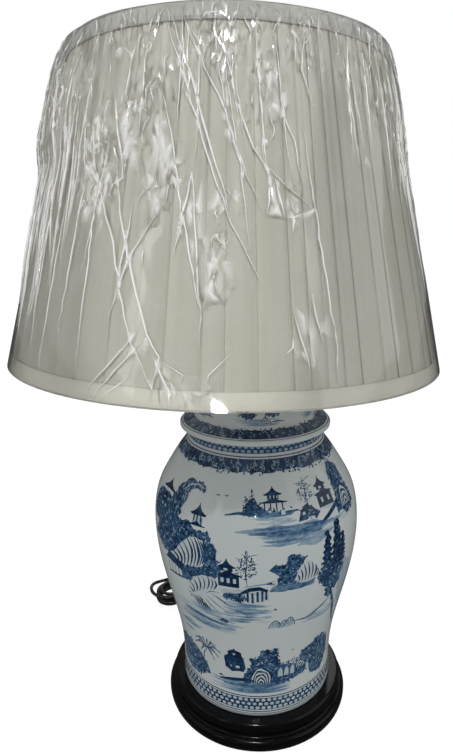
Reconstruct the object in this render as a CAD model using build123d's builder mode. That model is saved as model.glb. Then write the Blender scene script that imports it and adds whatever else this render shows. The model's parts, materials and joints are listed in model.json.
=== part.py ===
"""A table lamp made from a porcelain ginger jar, under a pleated empire shade that is still in its film.

Millimetres. +Z is up, and the origin is the centre of the felt disc's underside, on the jar's axis.
The front of the lamp faces -Y. The shade stands a little off the jar's axis, on a harp that leans.
"""

import os
from math import atan2, cos, degrees, hypot, pi, radians, sin, sqrt, tan

from build123d import *

os.makedirs("parts", exist_ok=True)

# ---------------------------------------------------------------- driving sizes
fit_gap = 0.08  # radial room round a sliding or turning piece
seat_gap = 0.1  # room between faces that turn on each other

# Plinth
felt_thickness = 1.5
felt_radius = 95
plinth_top = 28
lower_tier_radius = 98.8
lower_tier_top = 13
upper_tier_radius = 93
recess_radius = 60
recess_top = 20

# Jar
jar_wall = 5
jar_floor_gap = 6  # height of the unglazed foot ring
foot_ring_width = 7
jar_outline = [  # (radius, height above the foot)
    (81.9, 0),
    (81.0, 27),
    (84.0, 64),
    (94.8, 112),
    (104.9, 162),
    (106.5, 187),
    (104.5, 212),
    (98.5, 232),
    (88.5, 248),
    (74.3, 270),
    (68.6, 277),
]
neck_radius = 67.5
neck_height = 10

# Lid
flange_radius = 76.8
flange_thickness = 6
dome_radius = 60
dome_height = 28.5
dome_flat_radius = 12
lid_wall = 5
spigot_depth = 10
spigot_gap = 1.5

# Pipe and what it clamps
pipe_radius = 5
pipe_bore = 3.4
pipe_hole_gap = 0.3
nut_across_flats = 14
nut_height = 4
washer_radius = 15
washer_thickness = 2
vase_cap_radius = 18
vase_cap_height = 5
spacer_radius = 8
spacer_height = 13.5

# Harp and its saddle
saddle_thickness = 1.5
saddle_width = 14
harp_foot_half = 28.5  # half the distance between the ears
harp_widest_half = 56
harp_wire = 1.6  # radius
ear_height = 15
ear_wall = 1.5
sleeve_wall = 1.3
sleeve_length = 20
sleeve_neck = 5
sleeve_lift = 12

# Socket: each piece goes round the one inside it
lamp_thread_radius = 13.2  # E26, inside the threads
screw_shell_wall = 0.5
screw_shell_height = 22
screw_shell_neck = 3.6  # height of its coned foot, which stands round the centre contact
contact_opening = 6.5  # radius of the hole in that foot
contact_rise = 2.6
socket_body_radius = lamp_thread_radius + screw_shell_wall + 0.9
socket_body_height = 18
liner_gap = 0.6  # between the socket body and the card liner
liner_wall = 0.8
liner_radius = socket_body_radius + liner_gap + liner_wall
socket_shell_wall = 0.5
socket_shell_radius = liner_radius + 0.1 + socket_shell_wall
socket_shell_height = 45
shell_bead = 0.8
cap_wall = 0.6
cap_radius = socket_shell_radius + 0.2 + cap_wall
cap_height = 20
cap_throat = pipe_radius + 2.5
cap_overlap = 2  # how far the shell sits down inside the cap
set_screw_radius = 1.5
set_screw_height = 3  # above the saddle
terminal_angles = (60, 240)
terminal_height = 5
terminal_screw_radius = 2.8
knob_radius = 7
knob_length = 12
knob_start = 25
knob_shaft_radius = 2.2
knob_height = 8  # of the shaft, above the underside of the socket body

# Shade: an empire drum on its own, slightly tilted axis
shade_bottom_radius = 203
shade_top_radius = 138.4
shade_height = 262.9
shade_foot = (-30.2, 0, 388.9)
shade_tilt = 1.81  # degrees, the top towards +X
film_thickness = 0.3
film_lip = 18
trim_thickness = 1
trim_height = 12
pleat_count = 60
pleat_depth = 1.3
fabric_thickness = 0.5
lining_thickness = 1
ring_wire = 1.6
spider_wire = 1.5
spider_arms = 3
spider_drop = 20  # from the shade's top edge to the seat of the hub
hub_radius = 11
hub_thickness = 1.6

# Finial and stud
stud_radius = 3.1
stud_length = 12
stud_shoulder_radius = 6.5
stud_shoulder_height = 6
finial_ball_radius = 9
finial_height = 28

# Cord
cord_radius = 2.25
cord_height = 7  # of the outlet in the plinth
cord_way = 80  # degrees from +X
relief_length = 22
relief_wall = 2.2
relief_tip_wall = 0.9
relief_flange = (6.0, 2.0)  # radius, thickness
relief_plug_length = 12  # inside the plinth
hank_run = 80
hank_runs = 12
layer_step = 2 * cord_radius + 0.5
fold_radius = 13.0  # of the innermost loops
fold_step = 2 * cord_radius + 1.1
waist_half = 4.0
waist_step = 2 * cord_radius + 1.0
loose_loop = 10  # how far the last loop stands off the bundle
hank_centre = (-87, 187)
hank_way = 50.1  # degrees from +X
tie_thickness = 1.0
tie_width = 6
tie_gap = 0.3
plug_tail = 22
plug_size = (30, 24, 12.6)
plug_axis = plug_size[2] / 2 + 0.2  # height of the plug's middle above the table
plug_aside = 7  # how far the plug lies outside the hank's middle loops
blade_size = (16, 1.5, 6.4)
blade_spacing = 12.7
blade_hole_radius = 1.6

# ---------------------------------------------------------------- derived places
jar_foot = plinth_top
neck_foot = jar_foot + jar_outline[-1][1]
neck_top = neck_foot + neck_height
flange_top = neck_top + flange_thickness
dome_top = flange_top + dome_height
spacer_foot = dome_top + vase_cap_height
saddle_nut_foot = spacer_foot + spacer_height
saddle_foot = saddle_nut_foot + nut_height
saddle_top = saddle_foot + saddle_thickness
pipe_foot = recess_top - washer_thickness - nut_height - 1
pipe_top = saddle_top + 8
socket_body_foot = saddle_top + cap_height + 1
contact_height = socket_body_foot + socket_body_height
hole_radius = pipe_radius + pipe_hole_gap

shade_plane = Plane(
    origin=shade_foot, x_dir=(cos(radians(shade_tilt)), 0, -sin(radians(shade_tilt))),
    z_dir=(sin(radians(shade_tilt)), 0, cos(radians(shade_tilt))),
)
shade_slope = (shade_bottom_radius - shade_top_radius) / shade_height
hub_seat = shade_height - spider_drop
crown_below_hub = 4

crown = shade_plane.from_local_coords(Vector(0, 0, hub_seat - crown_below_hub))
harp_lean = atan2(-crown.X, crown.Z - saddle_top)
harp_height = hypot(crown.X, crown.Z - saddle_top)
harp_up = Vector(-sin(harp_lean), 0, cos(harp_lean))


def shade_radius(height, inset=0):
    """Radius of the shade's outside at a height above its bottom edge, less an inset."""
    return shade_bottom_radius - shade_slope * height - inset


def biarc(start, start_way, end, end_way):
    """Two arcs tangent to each other, from one place and direction to another."""
    gap = end - start
    spread = 2 * (1 - start_way.dot(end_way))
    along = gap.dot(start_way + end_way)
    reach = 0
    if spread > 1e-9:
        reach = (-along + sqrt(along**2 + spread * gap.dot(gap))) / spread
    middle = (start + end + (start_way - end_way) * reach) / 2
    first = TangentArc(start, middle, tangent=start_way)
    TangentArc(middle, end, tangent=first % 1)


# ---------------------------------------------------------------- plinth
with BuildPart() as base_felt:
    with BuildSketch():
        Circle(felt_radius)
    extrude(amount=felt_thickness)
base_felt.part.label = "base_felt"
export_step(base_felt.part, "parts/base_felt.step")

outlet_way = Vector(cos(radians(cord_way)), sin(radians(cord_way)), 0)
outlet_plane = Plane(
    origin=outlet_way * (lower_tier_radius + 0.1) + Vector(0, 0, cord_height),
    x_dir=(0, 0, 1),
    z_dir=outlet_way,
)
relief_radius = cord_radius + relief_wall

with BuildPart() as base_plinth:
    with BuildSketch(Plane.XZ):
        with BuildLine():
            foot = (lower_tier_radius - 1.2, felt_thickness)
            swell = (lower_tier_radius, felt_thickness + 6)
            shelf = (upper_tier_radius + 1.5, lower_tier_top)
            ceiling = (recess_radius, recess_top)
            Polyline((hole_radius, recess_top), ceiling, (recess_radius, felt_thickness), foot)
            ThreePointArc(foot, (lower_tier_radius - 0.2, felt_thickness + 3), swell)
            ThreePointArc(swell, (lower_tier_radius - 1.2, lower_tier_top - 1.6), shelf)
            cove = (upper_tier_radius - 0.6, lower_tier_top + 3.5)
            ThreePointArc(shelf, (upper_tier_radius - 0.5, lower_tier_top + 1), cove)
            crest = (upper_tier_radius, plinth_top - 6)
            edge = (upper_tier_radius - 3, plinth_top)
            ThreePointArc(cove, (upper_tier_radius - 0.1, lower_tier_top + 6.3), crest)
            ThreePointArc(crest, (upper_tier_radius - 0.9, plinth_top - 1.6), edge)
            Polyline(edge, (hole_radius, plinth_top), (hole_radius, recess_top))
        make_face()
    revolve(axis=Axis.Z)
    with BuildSketch(outlet_plane):
        Circle(relief_radius)
    extrude(amount=-(lower_tier_radius - recess_radius + 5), mode=Mode.SUBTRACT)
base_plinth.part.label = "base_plinth"
export_step(base_plinth.part, "parts/base_plinth.step")

# ---------------------------------------------------------------- jar
jar_points = [(radius, jar_foot + height) for radius, height in jar_outline]
jar_floor = jar_foot + jar_floor_gap
inner_points = [(radius - jar_wall, height) for radius, height in jar_points[1:]]
inner_floor_radius = jar_outline[0][0] - jar_wall - 6

with BuildPart() as jar_body:
    with BuildSketch(Plane.XZ):
        with BuildLine():
            Spline(*jar_points, tangents=[(-0.02, 1), (-0.5, 1)])
            Polyline(jar_points[-1], (neck_radius, neck_foot + 1.5), (neck_radius, neck_top))
            Line((neck_radius, neck_top), (neck_radius - jar_wall, neck_top))
            Polyline(
                (neck_radius - jar_wall, neck_top),
                (neck_radius - jar_wall, neck_foot + 1.5),
                inner_points[-1],
            )
            Spline(*inner_points, tangents=[(0, 1), (-0.5, 1)])
            Polyline(
                inner_points[0],
                (inner_floor_radius, jar_floor + jar_wall + 1),
                (hole_radius + 1, jar_floor + jar_wall),
                (hole_radius + 1, jar_floor),
                (jar_outline[0][0] - foot_ring_width - 2, jar_floor),
                (jar_outline[0][0] - foot_ring_width, jar_foot),
                jar_points[0],
            )
        make_face()
    revolve(axis=Axis.Z)
    foot_edges = jar_body.edges().filter_by(GeomType.CIRCLE).group_by(Axis.Z)[0]
    fillet(foot_edges, radius=1)
jar_body.part.label = "jar_body"
export_step(jar_body.part, "parts/jar_body.step")

spigot_radius = neck_radius - jar_wall - spigot_gap
with BuildPart() as jar_lid:
    with BuildSketch(Plane.XZ):
        with BuildLine():
            dome_foot = (dome_radius, flange_top)
            dome_edge = (dome_flat_radius, dome_top)
            Spline(dome_foot, (dome_radius * 0.83, flange_top + dome_height * 0.62), dome_edge,
                   tangents=[(-0.12, 1), (-1, 0.04)])
            Polyline(dome_edge, (hole_radius, dome_top), (hole_radius, dome_top - lid_wall))
            inner_edge = (dome_flat_radius, dome_top - lid_wall)
            Line((hole_radius, dome_top - lid_wall), inner_edge)
            inner_foot = (dome_radius - lid_wall, flange_top - 2)
            haunch = (dome_radius * 0.83 - lid_wall + 1, flange_top + dome_height * 0.62 - lid_wall + 1.5)
            Spline(inner_foot, haunch, inner_edge, tangents=[(-0.12, 1), (-1, 0.04)])
            Polyline(
                inner_foot,
                (spigot_radius - 4, neck_top - spigot_depth),
                (spigot_radius, neck_top - spigot_depth),
                (spigot_radius, neck_top),
                (flange_radius, neck_top),
                (flange_radius, flange_top),
                dome_foot,
            )
        make_face()
    revolve(axis=Axis.Z)
    circles = jar_lid.edges().filter_by(GeomType.CIRCLE)
    lid_rim = circles.filter_by(lambda edge: abs(edge.radius - flange_radius) < 0.01)
    fillet(lid_rim, radius=flange_thickness * 0.4)
jar_lid.part.label = "jar_lid"
export_step(jar_lid.part, "parts/jar_lid.step")

# ---------------------------------------------------------------- pipe and clamping stack
with BuildPart() as lamp_pipe:
    with BuildSketch(Plane.XY.offset(pipe_foot)):
        Circle(pipe_radius)
        Circle(pipe_bore, mode=Mode.SUBTRACT)
    extrude(amount=pipe_top - pipe_foot)
lamp_pipe.part.label = "lamp_pipe"
export_step(lamp_pipe.part, "parts/lamp_pipe.step")

with BuildPart() as base_washer:
    with BuildSketch(Plane.XY.offset(recess_top - washer_thickness)):
        Circle(washer_radius)
        Circle(hole_radius, mode=Mode.SUBTRACT)
    extrude(amount=washer_thickness)
base_washer.part.label = "base_washer"
export_step(base_washer.part, "parts/base_washer.step")

with BuildPart() as base_nut:
    with BuildSketch(Plane.XY.offset(recess_top - washer_thickness - nut_height)):
        RegularPolygon(nut_across_flats / 2, 6, major_radius=False)
        Circle(pipe_radius, mode=Mode.SUBTRACT)
    extrude(amount=nut_height)
    chamfer(base_nut.edges().filter_by(GeomType.LINE).group_by(Axis.Z)[0], length=0.4)
base_nut.part.label = "base_nut"
export_step(base_nut.part, "parts/base_nut.step")

with BuildPart() as vase_cap:
    with BuildSketch(Plane.XZ):
        with BuildLine():
            Line((pipe_radius, dome_top), (dome_flat_radius, dome_top))
            rim, brim = (vase_cap_radius, dome_top + 0.2), (vase_cap_radius, dome_top + 1)
            ThreePointArc((dome_flat_radius, dome_top), (vase_cap_radius - 3, dome_top + 0.4), rim)
            Line(rim, brim)
            shoulder = (spacer_radius + 1.5, spacer_foot)
            ThreePointArc(brim, (vase_cap_radius - 4.5, dome_top + 3.6), shoulder)
            Polyline(shoulder, (pipe_radius, spacer_foot), (pipe_radius, dome_top))
        make_face()
    revolve(axis=Axis.Z)
vase_cap.part.label = "vase_cap"
export_step(vase_cap.part, "parts/vase_cap.step")

with BuildPart() as brass_neck:
    with BuildSketch(Plane.XZ):
        with BuildLine():
            low, high = (spacer_radius, spacer_foot), (spacer_radius, saddle_nut_foot)
            Line(low, (spacer_radius, spacer_foot + 2))
            ThreePointArc(
                (spacer_radius, spacer_foot + 2),
                (spacer_radius - 1.8, spacer_foot + spacer_height / 2),
                (spacer_radius, saddle_nut_foot - 2),
            )
            Line((spacer_radius, saddle_nut_foot - 2), high)
            Polyline(high, (pipe_radius, saddle_nut_foot), (pipe_radius, spacer_foot), low)
        make_face()
    revolve(axis=Axis.Z)
brass_neck.part.label = "brass_neck"
export_step(brass_neck.part, "parts/brass_neck.step")

with BuildPart() as saddle_nut:
    with BuildSketch(Plane.XY.offset(saddle_nut_foot)):
        RegularPolygon(nut_across_flats / 2, 6, major_radius=False)
        Circle(pipe_radius, mode=Mode.SUBTRACT)
    extrude(amount=nut_height)
    chamfer(saddle_nut.edges().filter_by(GeomType.LINE).group_by(Axis.Z)[-1], length=0.4)
saddle_nut.part.label = "saddle_nut"
export_step(saddle_nut.part, "parts/saddle_nut.step")

# ---------------------------------------------------------------- saddle, harp and sleeves
ear_bore = harp_wire + 0.05
ear_radius = ear_bore + ear_wall


def leg_plane(side, height):
    """A plane square to a harp leg, at a height up the leaning harp; its y points away from the socket."""
    foot = Vector(0, side * harp_foot_half, saddle_top) + harp_up * height
    return Plane(origin=foot, x_dir=Vector(cos(harp_lean), 0, sin(harp_lean)) * side, z_dir=harp_up)


with BuildPart() as harp_saddle:
    with BuildSketch(Plane.XY.offset(saddle_foot)):
        SlotOverall(2 * (harp_foot_half + ear_radius + 1), saddle_width, rotation=90)
        Circle(pipe_radius, mode=Mode.SUBTRACT)
    extrude(amount=saddle_thickness)
    for side in (-1, 1):
        with BuildSketch(leg_plane(side, -0.7)):
            Circle(ear_radius)
            Circle(ear_bore, mode=Mode.SUBTRACT)
            with Locations((0, -ear_radius - 0.4)):
                Rectangle(4 * ear_radius, 2 * ear_radius, mode=Mode.SUBTRACT)
        extrude(amount=ear_height + 0.7)
harp_saddle.part.label = "harp_saddle"
export_step(harp_saddle.part, "parts/harp_saddle.step")


def on_harp(across, height):
    """A point of the harp's leaning plane, from the middle of the saddle's top."""
    return Vector(0, across, saddle_top) + harp_up * height


leg_straight = sleeve_length + sleeve_lift + 4
shoulder_height = harp_height * 0.44
bow_height = harp_height * 0.58
crown_half = stud_shoulder_radius + 4
with BuildPart() as harp:
    with BuildLine() as harp_line:
        inward = Vector(0, -1, 0)
        for side in (-1, 1):
            Line(on_harp(side * harp_foot_half, 0.3), on_harp(side * harp_foot_half, leg_straight))
            biarc(
                on_harp(side * harp_foot_half, leg_straight), harp_up,
                on_harp(side * harp_widest_half, shoulder_height), harp_up,
            )
            bow = on_harp(side * harp_widest_half, bow_height)
            Line(on_harp(side * harp_widest_half, shoulder_height), bow)
            biarc(
                bow, harp_up,
                on_harp(side * crown_half, harp_height), inward * side,
            )
        Line(on_harp(-crown_half, harp_height), on_harp(crown_half, harp_height))
    with BuildSketch(Plane(origin=on_harp(-harp_foot_half, 0.3), z_dir=harp_up)):
        Circle(harp_wire)
    sweep(path=harp_line.wires()[0])
harp.part.label = "harp"
export_step(harp.part, "parts/harp.step")

with BuildPart() as harp_stud:
    with BuildSketch(shade_plane.offset(hub_seat - stud_shoulder_height)):
        Circle(stud_shoulder_radius)
    extrude(amount=stud_shoulder_height)
    fillet(harp_stud.edges().filter_by(GeomType.CIRCLE).group_by(Axis.Z)[0], radius=1)
    with BuildSketch(shade_plane.offset(hub_seat)):
        Circle(stud_radius)
    extrude(amount=stud_length)
    chamfer(harp_stud.edges().filter_by(GeomType.CIRCLE).group_by(Axis.Z)[-1], length=0.6)
    add(harp.part, mode=Mode.SUBTRACT)
harp_stud.part.label = "harp_stud"
export_step(harp_stud.part, "parts/harp_stud.step")

sleeve_bore = ear_radius + fit_gap
sleeve_radius = sleeve_bore + sleeve_wall
sleeve_foot = 1.0
for side, name in ((-1, "harp_sleeve_front"), (1, "harp_sleeve_back")):
    with BuildPart() as harp_sleeve:
        with BuildSketch(leg_plane(side, sleeve_foot)):
            Circle(sleeve_radius)
        extrude(amount=sleeve_length)
        top_edge = harp_sleeve.edges().filter_by(GeomType.CIRCLE).group_by(Axis.Z)[-1]
        chamfer(top_edge, length=1.2)
        with BuildSketch(leg_plane(side, sleeve_foot)):
            Circle(sleeve_bore)
        extrude(amount=sleeve_length - sleeve_neck, mode=Mode.SUBTRACT)
        with BuildSketch(leg_plane(side, sleeve_foot)):
            Circle(harp_wire + fit_gap)
        extrude(amount=sleeve_length, mode=Mode.SUBTRACT)
    harp_sleeve.part.label = name
    export_step(harp_sleeve.part, f"parts/{name}.step")

# ---------------------------------------------------------------- socket
knob_axis = socket_body_foot + knob_height
shell_foot = saddle_top + cap_height - cap_overlap
shell_top = shell_foot + socket_shell_height
set_screw_start = Vector(0, -pipe_radius, saddle_top + set_screw_height)
set_screw_length = cap_throat - pipe_radius + 2
set_screw_plane = Plane(origin=set_screw_start, x_dir=(1, 0, 0), z_dir=(0, -1, 0))

with BuildPart() as socket_cap:
    with BuildSketch(Plane.XZ):
        with BuildLine():
            base, waist = (pipe_radius, saddle_top), (cap_throat, saddle_top)
            knee = (cap_throat, saddle_top + 6)
            rim_low, rim_high = (cap_radius, saddle_top + 15), (cap_radius, saddle_top + cap_height)
            Polyline(base, waist, knee)
            ThreePointArc(knee, (cap_radius - 3.2, saddle_top + 9.2), rim_low)
            Polyline(rim_low, rim_high, (cap_radius - cap_wall, saddle_top + cap_height))
            inner_rim = (cap_radius - cap_wall, saddle_top + 15)
            inner_knee = (pipe_radius, saddle_top + 7.2)
            Line((cap_radius - cap_wall, saddle_top + cap_height), inner_rim)
            ThreePointArc(inner_rim, (cap_radius - 4.2, saddle_top + 10), inner_knee)
            Line(inner_knee, base)
        make_face()
    revolve(axis=Axis.Z)
    with BuildSketch(set_screw_plane.offset(-1)):
        Circle(set_screw_radius)
    extrude(amount=set_screw_length + 1, mode=Mode.SUBTRACT)
socket_cap.part.label = "socket_cap"
export_step(socket_cap.part, "parts/socket_cap.step")

with BuildPart() as set_screw:
    with BuildSketch(set_screw_plane):
        Circle(set_screw_radius)
    extrude(amount=set_screw_length)
    with BuildSketch(set_screw_plane.offset(set_screw_length)):
        Rectangle(2 * set_screw_radius + 0.2, 0.6)
    extrude(amount=-0.8, mode=Mode.SUBTRACT)
set_screw.part.label = "set_screw"
export_step(set_screw.part, "parts/set_screw.step")

with BuildPart() as pipe_bushing:
    with BuildSketch(Plane.XY.offset(pipe_top)):
        Circle(pipe_radius)
        Circle(cord_radius + 0.2, mode=Mode.SUBTRACT)
    extrude(amount=2)
    with BuildSketch(Plane.XY.offset(pipe_top - 5)):
        Circle(pipe_bore)
        Circle(cord_radius + 0.2, mode=Mode.SUBTRACT)
    extrude(amount=5)
pipe_bushing.part.label = "pipe_bushing"
export_step(pipe_bushing.part, "parts/pipe_bushing.step")

shaft_plane = Plane(origin=(0, 0, knob_axis), x_dir=(0, 1, 0), z_dir=(1, 0, 0))
shaft_slot_radius = knob_shaft_radius + 1.3

with BuildPart() as socket_shell:
    with BuildSketch(Plane.XZ):
        with BuildLine():
            bead = socket_shell_radius + shell_bead
            inner = socket_shell_radius - socket_shell_wall
            Polyline(
                (inner, shell_foot), (socket_shell_radius, shell_foot), (socket_shell_radius, shell_top - 5),
                (bead, shell_top - 3.5), (bead, shell_top - 1), (socket_shell_radius, shell_top),
                (inner, shell_top), (inner, shell_foot),
            )
        make_face()
    revolve(axis=Axis.Z)
    with BuildSketch(shaft_plane):
        Circle(shaft_slot_radius)
    extrude(amount=socket_shell_radius + 2, mode=Mode.SUBTRACT)
socket_shell.part.label = "socket_shell"
export_step(socket_shell.part, "parts/socket_shell.step")

with BuildPart() as socket_liner:
    with BuildSketch(Plane.XY.offset(shell_foot + 1)):
        Circle(liner_radius)
        Circle(liner_radius - liner_wall, mode=Mode.SUBTRACT)
    extrude(amount=socket_shell_height - 2.5)
    with BuildSketch(shaft_plane):
        Circle(shaft_slot_radius)
    extrude(amount=socket_shell_radius + 2, mode=Mode.SUBTRACT)
socket_liner.part.label = "socket_liner"
export_step(socket_liner.part, "parts/socket_liner.step")

with BuildPart() as socket_body:
    with BuildSketch(Plane.XY.offset(socket_body_foot)):
        Circle(socket_body_radius)
    extrude(amount=socket_body_height)
    with BuildSketch(shaft_plane.offset(5)):
        Circle(knob_shaft_radius + fit_gap)
    extrude(amount=socket_body_radius, mode=Mode.SUBTRACT)
    for angle in terminal_angles:
        with BuildSketch(Plane.XY.offset(socket_body_foot)):
            with PolarLocations(socket_body_radius, 1, start_angle=angle):
                Rectangle(7, 9)
        extrude(amount=terminal_height * 2, mode=Mode.SUBTRACT)
    fillet(socket_body.edges().filter_by(GeomType.CIRCLE).group_by(Axis.Z)[-1], radius=0.8)
socket_body.part.label = "socket_body"
export_step(socket_body.part, "parts/socket_body.step")

with BuildPart() as terminal_screws:
    for angle in terminal_angles:
        way = Vector(cos(radians(angle)), sin(radians(angle)), 0)
        face = way * (socket_body_radius - 3.5) + Vector(0, 0, socket_body_foot + terminal_height)
        with BuildSketch(Plane(origin=face, x_dir=(0, 0, 1), z_dir=way)):
            Circle(terminal_screw_radius)
        extrude(amount=1.8)
        with BuildSketch(Plane(origin=face + way * 1.8, x_dir=(0, 0, 1), z_dir=way)):
            Rectangle(2 * terminal_screw_radius + 0.4, 0.7)
        extrude(amount=-0.8, mode=Mode.SUBTRACT)
terminal_screws.part.label = "terminal_screws"
export_step(terminal_screws.part, "parts/terminal_screws.step")

with BuildPart() as screw_shell:
    with BuildSketch(Plane.XZ):
        with BuildLine():
            floor_radius = lamp_thread_radius - 3
            thread_foot = contact_height + screw_shell_neck
            shell_crown = contact_height + screw_shell_height
            Polyline(
                (contact_opening, contact_height),
                (floor_radius + screw_shell_wall, contact_height),
                (lamp_thread_radius + screw_shell_wall, thread_foot),
                (lamp_thread_radius + screw_shell_wall, shell_crown),
                (lamp_thread_radius, shell_crown),
                (lamp_thread_radius, thread_foot),
                (floor_radius, contact_height + screw_shell_wall),
                (contact_opening, contact_height + screw_shell_wall),
                close=True,
            )
        make_face()
    revolve(axis=Axis.Z)
screw_shell.part.label = "screw_shell"
export_step(screw_shell.part, "parts/screw_shell.step")

with BuildPart() as centre_contact:
    with BuildSketch(Plane.XZ):
        with BuildLine():
            strip = contact_height + screw_shell_wall / 2
            Polyline((-4.8, strip), (-2, strip), (2, strip + contact_rise), (4, strip + contact_rise))
        trace(line_width=screw_shell_wall)
    extrude(amount=2.5, both=True)
centre_contact.part.label = "centre_contact"
export_step(centre_contact.part, "parts/centre_contact.step")

with BuildPart() as switch_shaft:
    with BuildSketch(shaft_plane.offset(5.5)):
        Circle(knob_shaft_radius)
    extrude(amount=knob_start + 8 - 5.5)
switch_shaft.part.label = "switch_shaft"
export_step(switch_shaft.part, "parts/switch_shaft.step")

with BuildPart() as switch_knob:
    with BuildSketch(shaft_plane.offset(knob_start)):
        Circle(knob_radius)
        with PolarLocations(knob_radius, 16):
            Circle(0.55, mode=Mode.SUBTRACT)
    extrude(amount=knob_length, taper=3)
    with BuildSketch(shaft_plane.offset(knob_start)):
        Circle(knob_shaft_radius)
    extrude(amount=8, mode=Mode.SUBTRACT)
switch_knob.part.label = "switch_knob"
export_step(switch_knob.part, "parts/switch_knob.step")

# ---------------------------------------------------------------- shade
section_plane = Plane(origin=shade_foot, x_dir=shade_plane.x_dir, z_dir=(0, -1, 0))
shade_axis = Axis(shade_foot, shade_plane.z_dir)
trim_inset = film_thickness + 0.2
fabric_inset = trim_inset + trim_thickness + 0.1
lining_inset = fabric_inset + pleat_depth + fabric_thickness + 0.2
ring_inset = lining_inset + lining_thickness + ring_wire + 0.1
ring_height = ring_wire + 0.6

with BuildPart() as bottom_ring:
    with BuildSketch(section_plane):
        with Locations((shade_radius(ring_height, ring_inset), ring_height)):
            Circle(ring_wire)
    revolve(axis=shade_axis)
bottom_ring.part.label = "bottom_ring"
export_step(bottom_ring.part, "parts/bottom_ring.step")

top_ring_height = shade_height - ring_height
top_ring_radius = shade_radius(top_ring_height, ring_inset)
with BuildPart() as top_ring:
    with BuildSketch(section_plane):
        with Locations((top_ring_radius, top_ring_height)):
            Circle(ring_wire)
    revolve(axis=shade_axis)
top_ring.part.label = "top_ring"
export_step(top_ring.part, "parts/top_ring.step")

arm_height = hub_seat + hub_thickness / 2
with BuildPart() as spider:
    with BuildSketch(shade_plane.offset(hub_seat)):
        Circle(hub_radius)
    extrude(amount=hub_thickness)
    for arm in range(spider_arms):
        turn = radians(90 + 360 / spider_arms * arm)
        out = shade_plane.x_dir * cos(turn) + shade_plane.y_dir * sin(turn)
        arm_foot = shade_plane.from_local_coords(Vector(0, 0, arm_height)) + out * (hub_radius - 1.5)
        arm_tip = shade_plane.from_local_coords(Vector(0, 0, top_ring_height)) + out * top_ring_radius
        knee = arm_foot + out * (top_ring_radius - hub_radius - 16)
        with BuildLine() as arm_line:
            FilletPolyline(arm_foot, knee, arm_tip, radius=10)
        with BuildSketch(Plane(origin=arm_foot, z_dir=out)):
            Circle(spider_wire)
        sweep(path=arm_line.wires()[0])
    with BuildSketch(shade_plane.offset(hub_seat - 2)):
        Circle(stud_radius + fit_gap)
    extrude(amount=hub_thickness + 4, mode=Mode.SUBTRACT)
    add(top_ring.part, mode=Mode.SUBTRACT)
spider.part.label = "spider"
export_step(spider.part, "parts/spider.step")

with BuildPart() as shade_lining:
    with BuildSketch(section_plane):
        with BuildLine():
            Polyline(
                (shade_radius(0, lining_inset), 0),
                (shade_radius(shade_height, lining_inset), shade_height),
                (shade_radius(shade_height, lining_inset + lining_thickness), shade_height),
                (shade_radius(0, lining_inset + lining_thickness), 0),
                close=True,
            )
        make_face()
    revolve(axis=shade_axis)
shade_lining.part.label = "shade_lining"
export_step(shade_lining.part, "parts/shade_lining.step")


def pleat_outline(height, inset):
    """Corners of the pleated cloth at a height: each pleat rises slowly and tucks under its neighbour."""
    corners = []
    for pleat in range(pleat_count):
        for share, depth in ((0.0, 0.0), (0.55, 0.35), (0.86, 1.0)):
            turn = 2 * pi * (pleat + share) / pleat_count
            radius = shade_radius(height, inset + pleat_depth * depth)
            corners.append((radius * cos(turn), radius * sin(turn)))
    return corners


with BuildPart() as shade_fabric:
    for inset, mode in ((fabric_inset, Mode.ADD), (fabric_inset + fabric_thickness, Mode.SUBTRACT)):
        reach = 0 if mode == Mode.ADD else 1
        for height in (-reach, shade_height + reach):
            with BuildSketch(shade_plane.offset(height)):
                Polygon(*pleat_outline(height, inset), align=None)
        loft(ruled=True, mode=mode)
shade_fabric.part.label = "shade_fabric"
export_step(shade_fabric.part, "parts/shade_fabric.step")


def skin_outline(low, high, inset, thickness, lip_low=0, lip_high=0):
    """Section of a band on the shade's cone, with an edge turned in under its foot or over its head."""
    outer_low, outer_high = (shade_radius(low, inset), low), (shade_radius(high, inset), high)
    low_inside = low + (thickness if lip_low else 0)
    high_inside = high - (thickness if lip_high else 0)
    inner_low = (shade_radius(low_inside, inset + thickness), low_inside)
    inner_high = (shade_radius(high_inside, inset + thickness), high_inside)
    points = [outer_low, outer_high]
    if lip_high:
        points += [(outer_high[0] - lip_high, high), (outer_high[0] - lip_high, inner_high[1])]
    points += [inner_high, inner_low]
    if lip_low:
        points += [(outer_low[0] - lip_low, inner_low[1]), (outer_low[0] - lip_low, low)]
    return points


trim_lip = ring_inset + ring_wire - trim_inset
with BuildPart() as trim_bottom:
    with BuildSketch(section_plane):
        with BuildLine():
            Polyline(
                *skin_outline(-trim_thickness, trim_height, trim_inset, trim_thickness, lip_low=trim_lip),
                close=True,
            )
        make_face()
    revolve(axis=shade_axis)
trim_bottom.part.label = "trim_bottom"
export_step(trim_bottom.part, "parts/trim_bottom.step")

trim_crown = shade_height + trim_thickness
with BuildPart() as trim_top:
    with BuildSketch(section_plane):
        with BuildLine():
            Polyline(
                *skin_outline(
                    shade_height - trim_height, trim_crown, trim_inset, trim_thickness, lip_high=trim_lip
                ),
                close=True,
            )
        make_face()
    revolve(axis=shade_axis)
trim_top.part.label = "trim_top"
export_step(trim_top.part, "parts/trim_top.step")

film_reach = trim_thickness + film_thickness + 0.2
with BuildPart() as shade_film:
    with BuildSketch(section_plane):
        with BuildLine():
            Polyline(
                *skin_outline(-film_reach, shade_height + film_reach, 0, film_thickness, film_lip, film_lip),
                close=True,
            )
        make_face()
    revolve(axis=shade_axis)
shade_film.part.label = "shade_film"
export_step(shade_film.part, "parts/shade_film.step")

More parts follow.
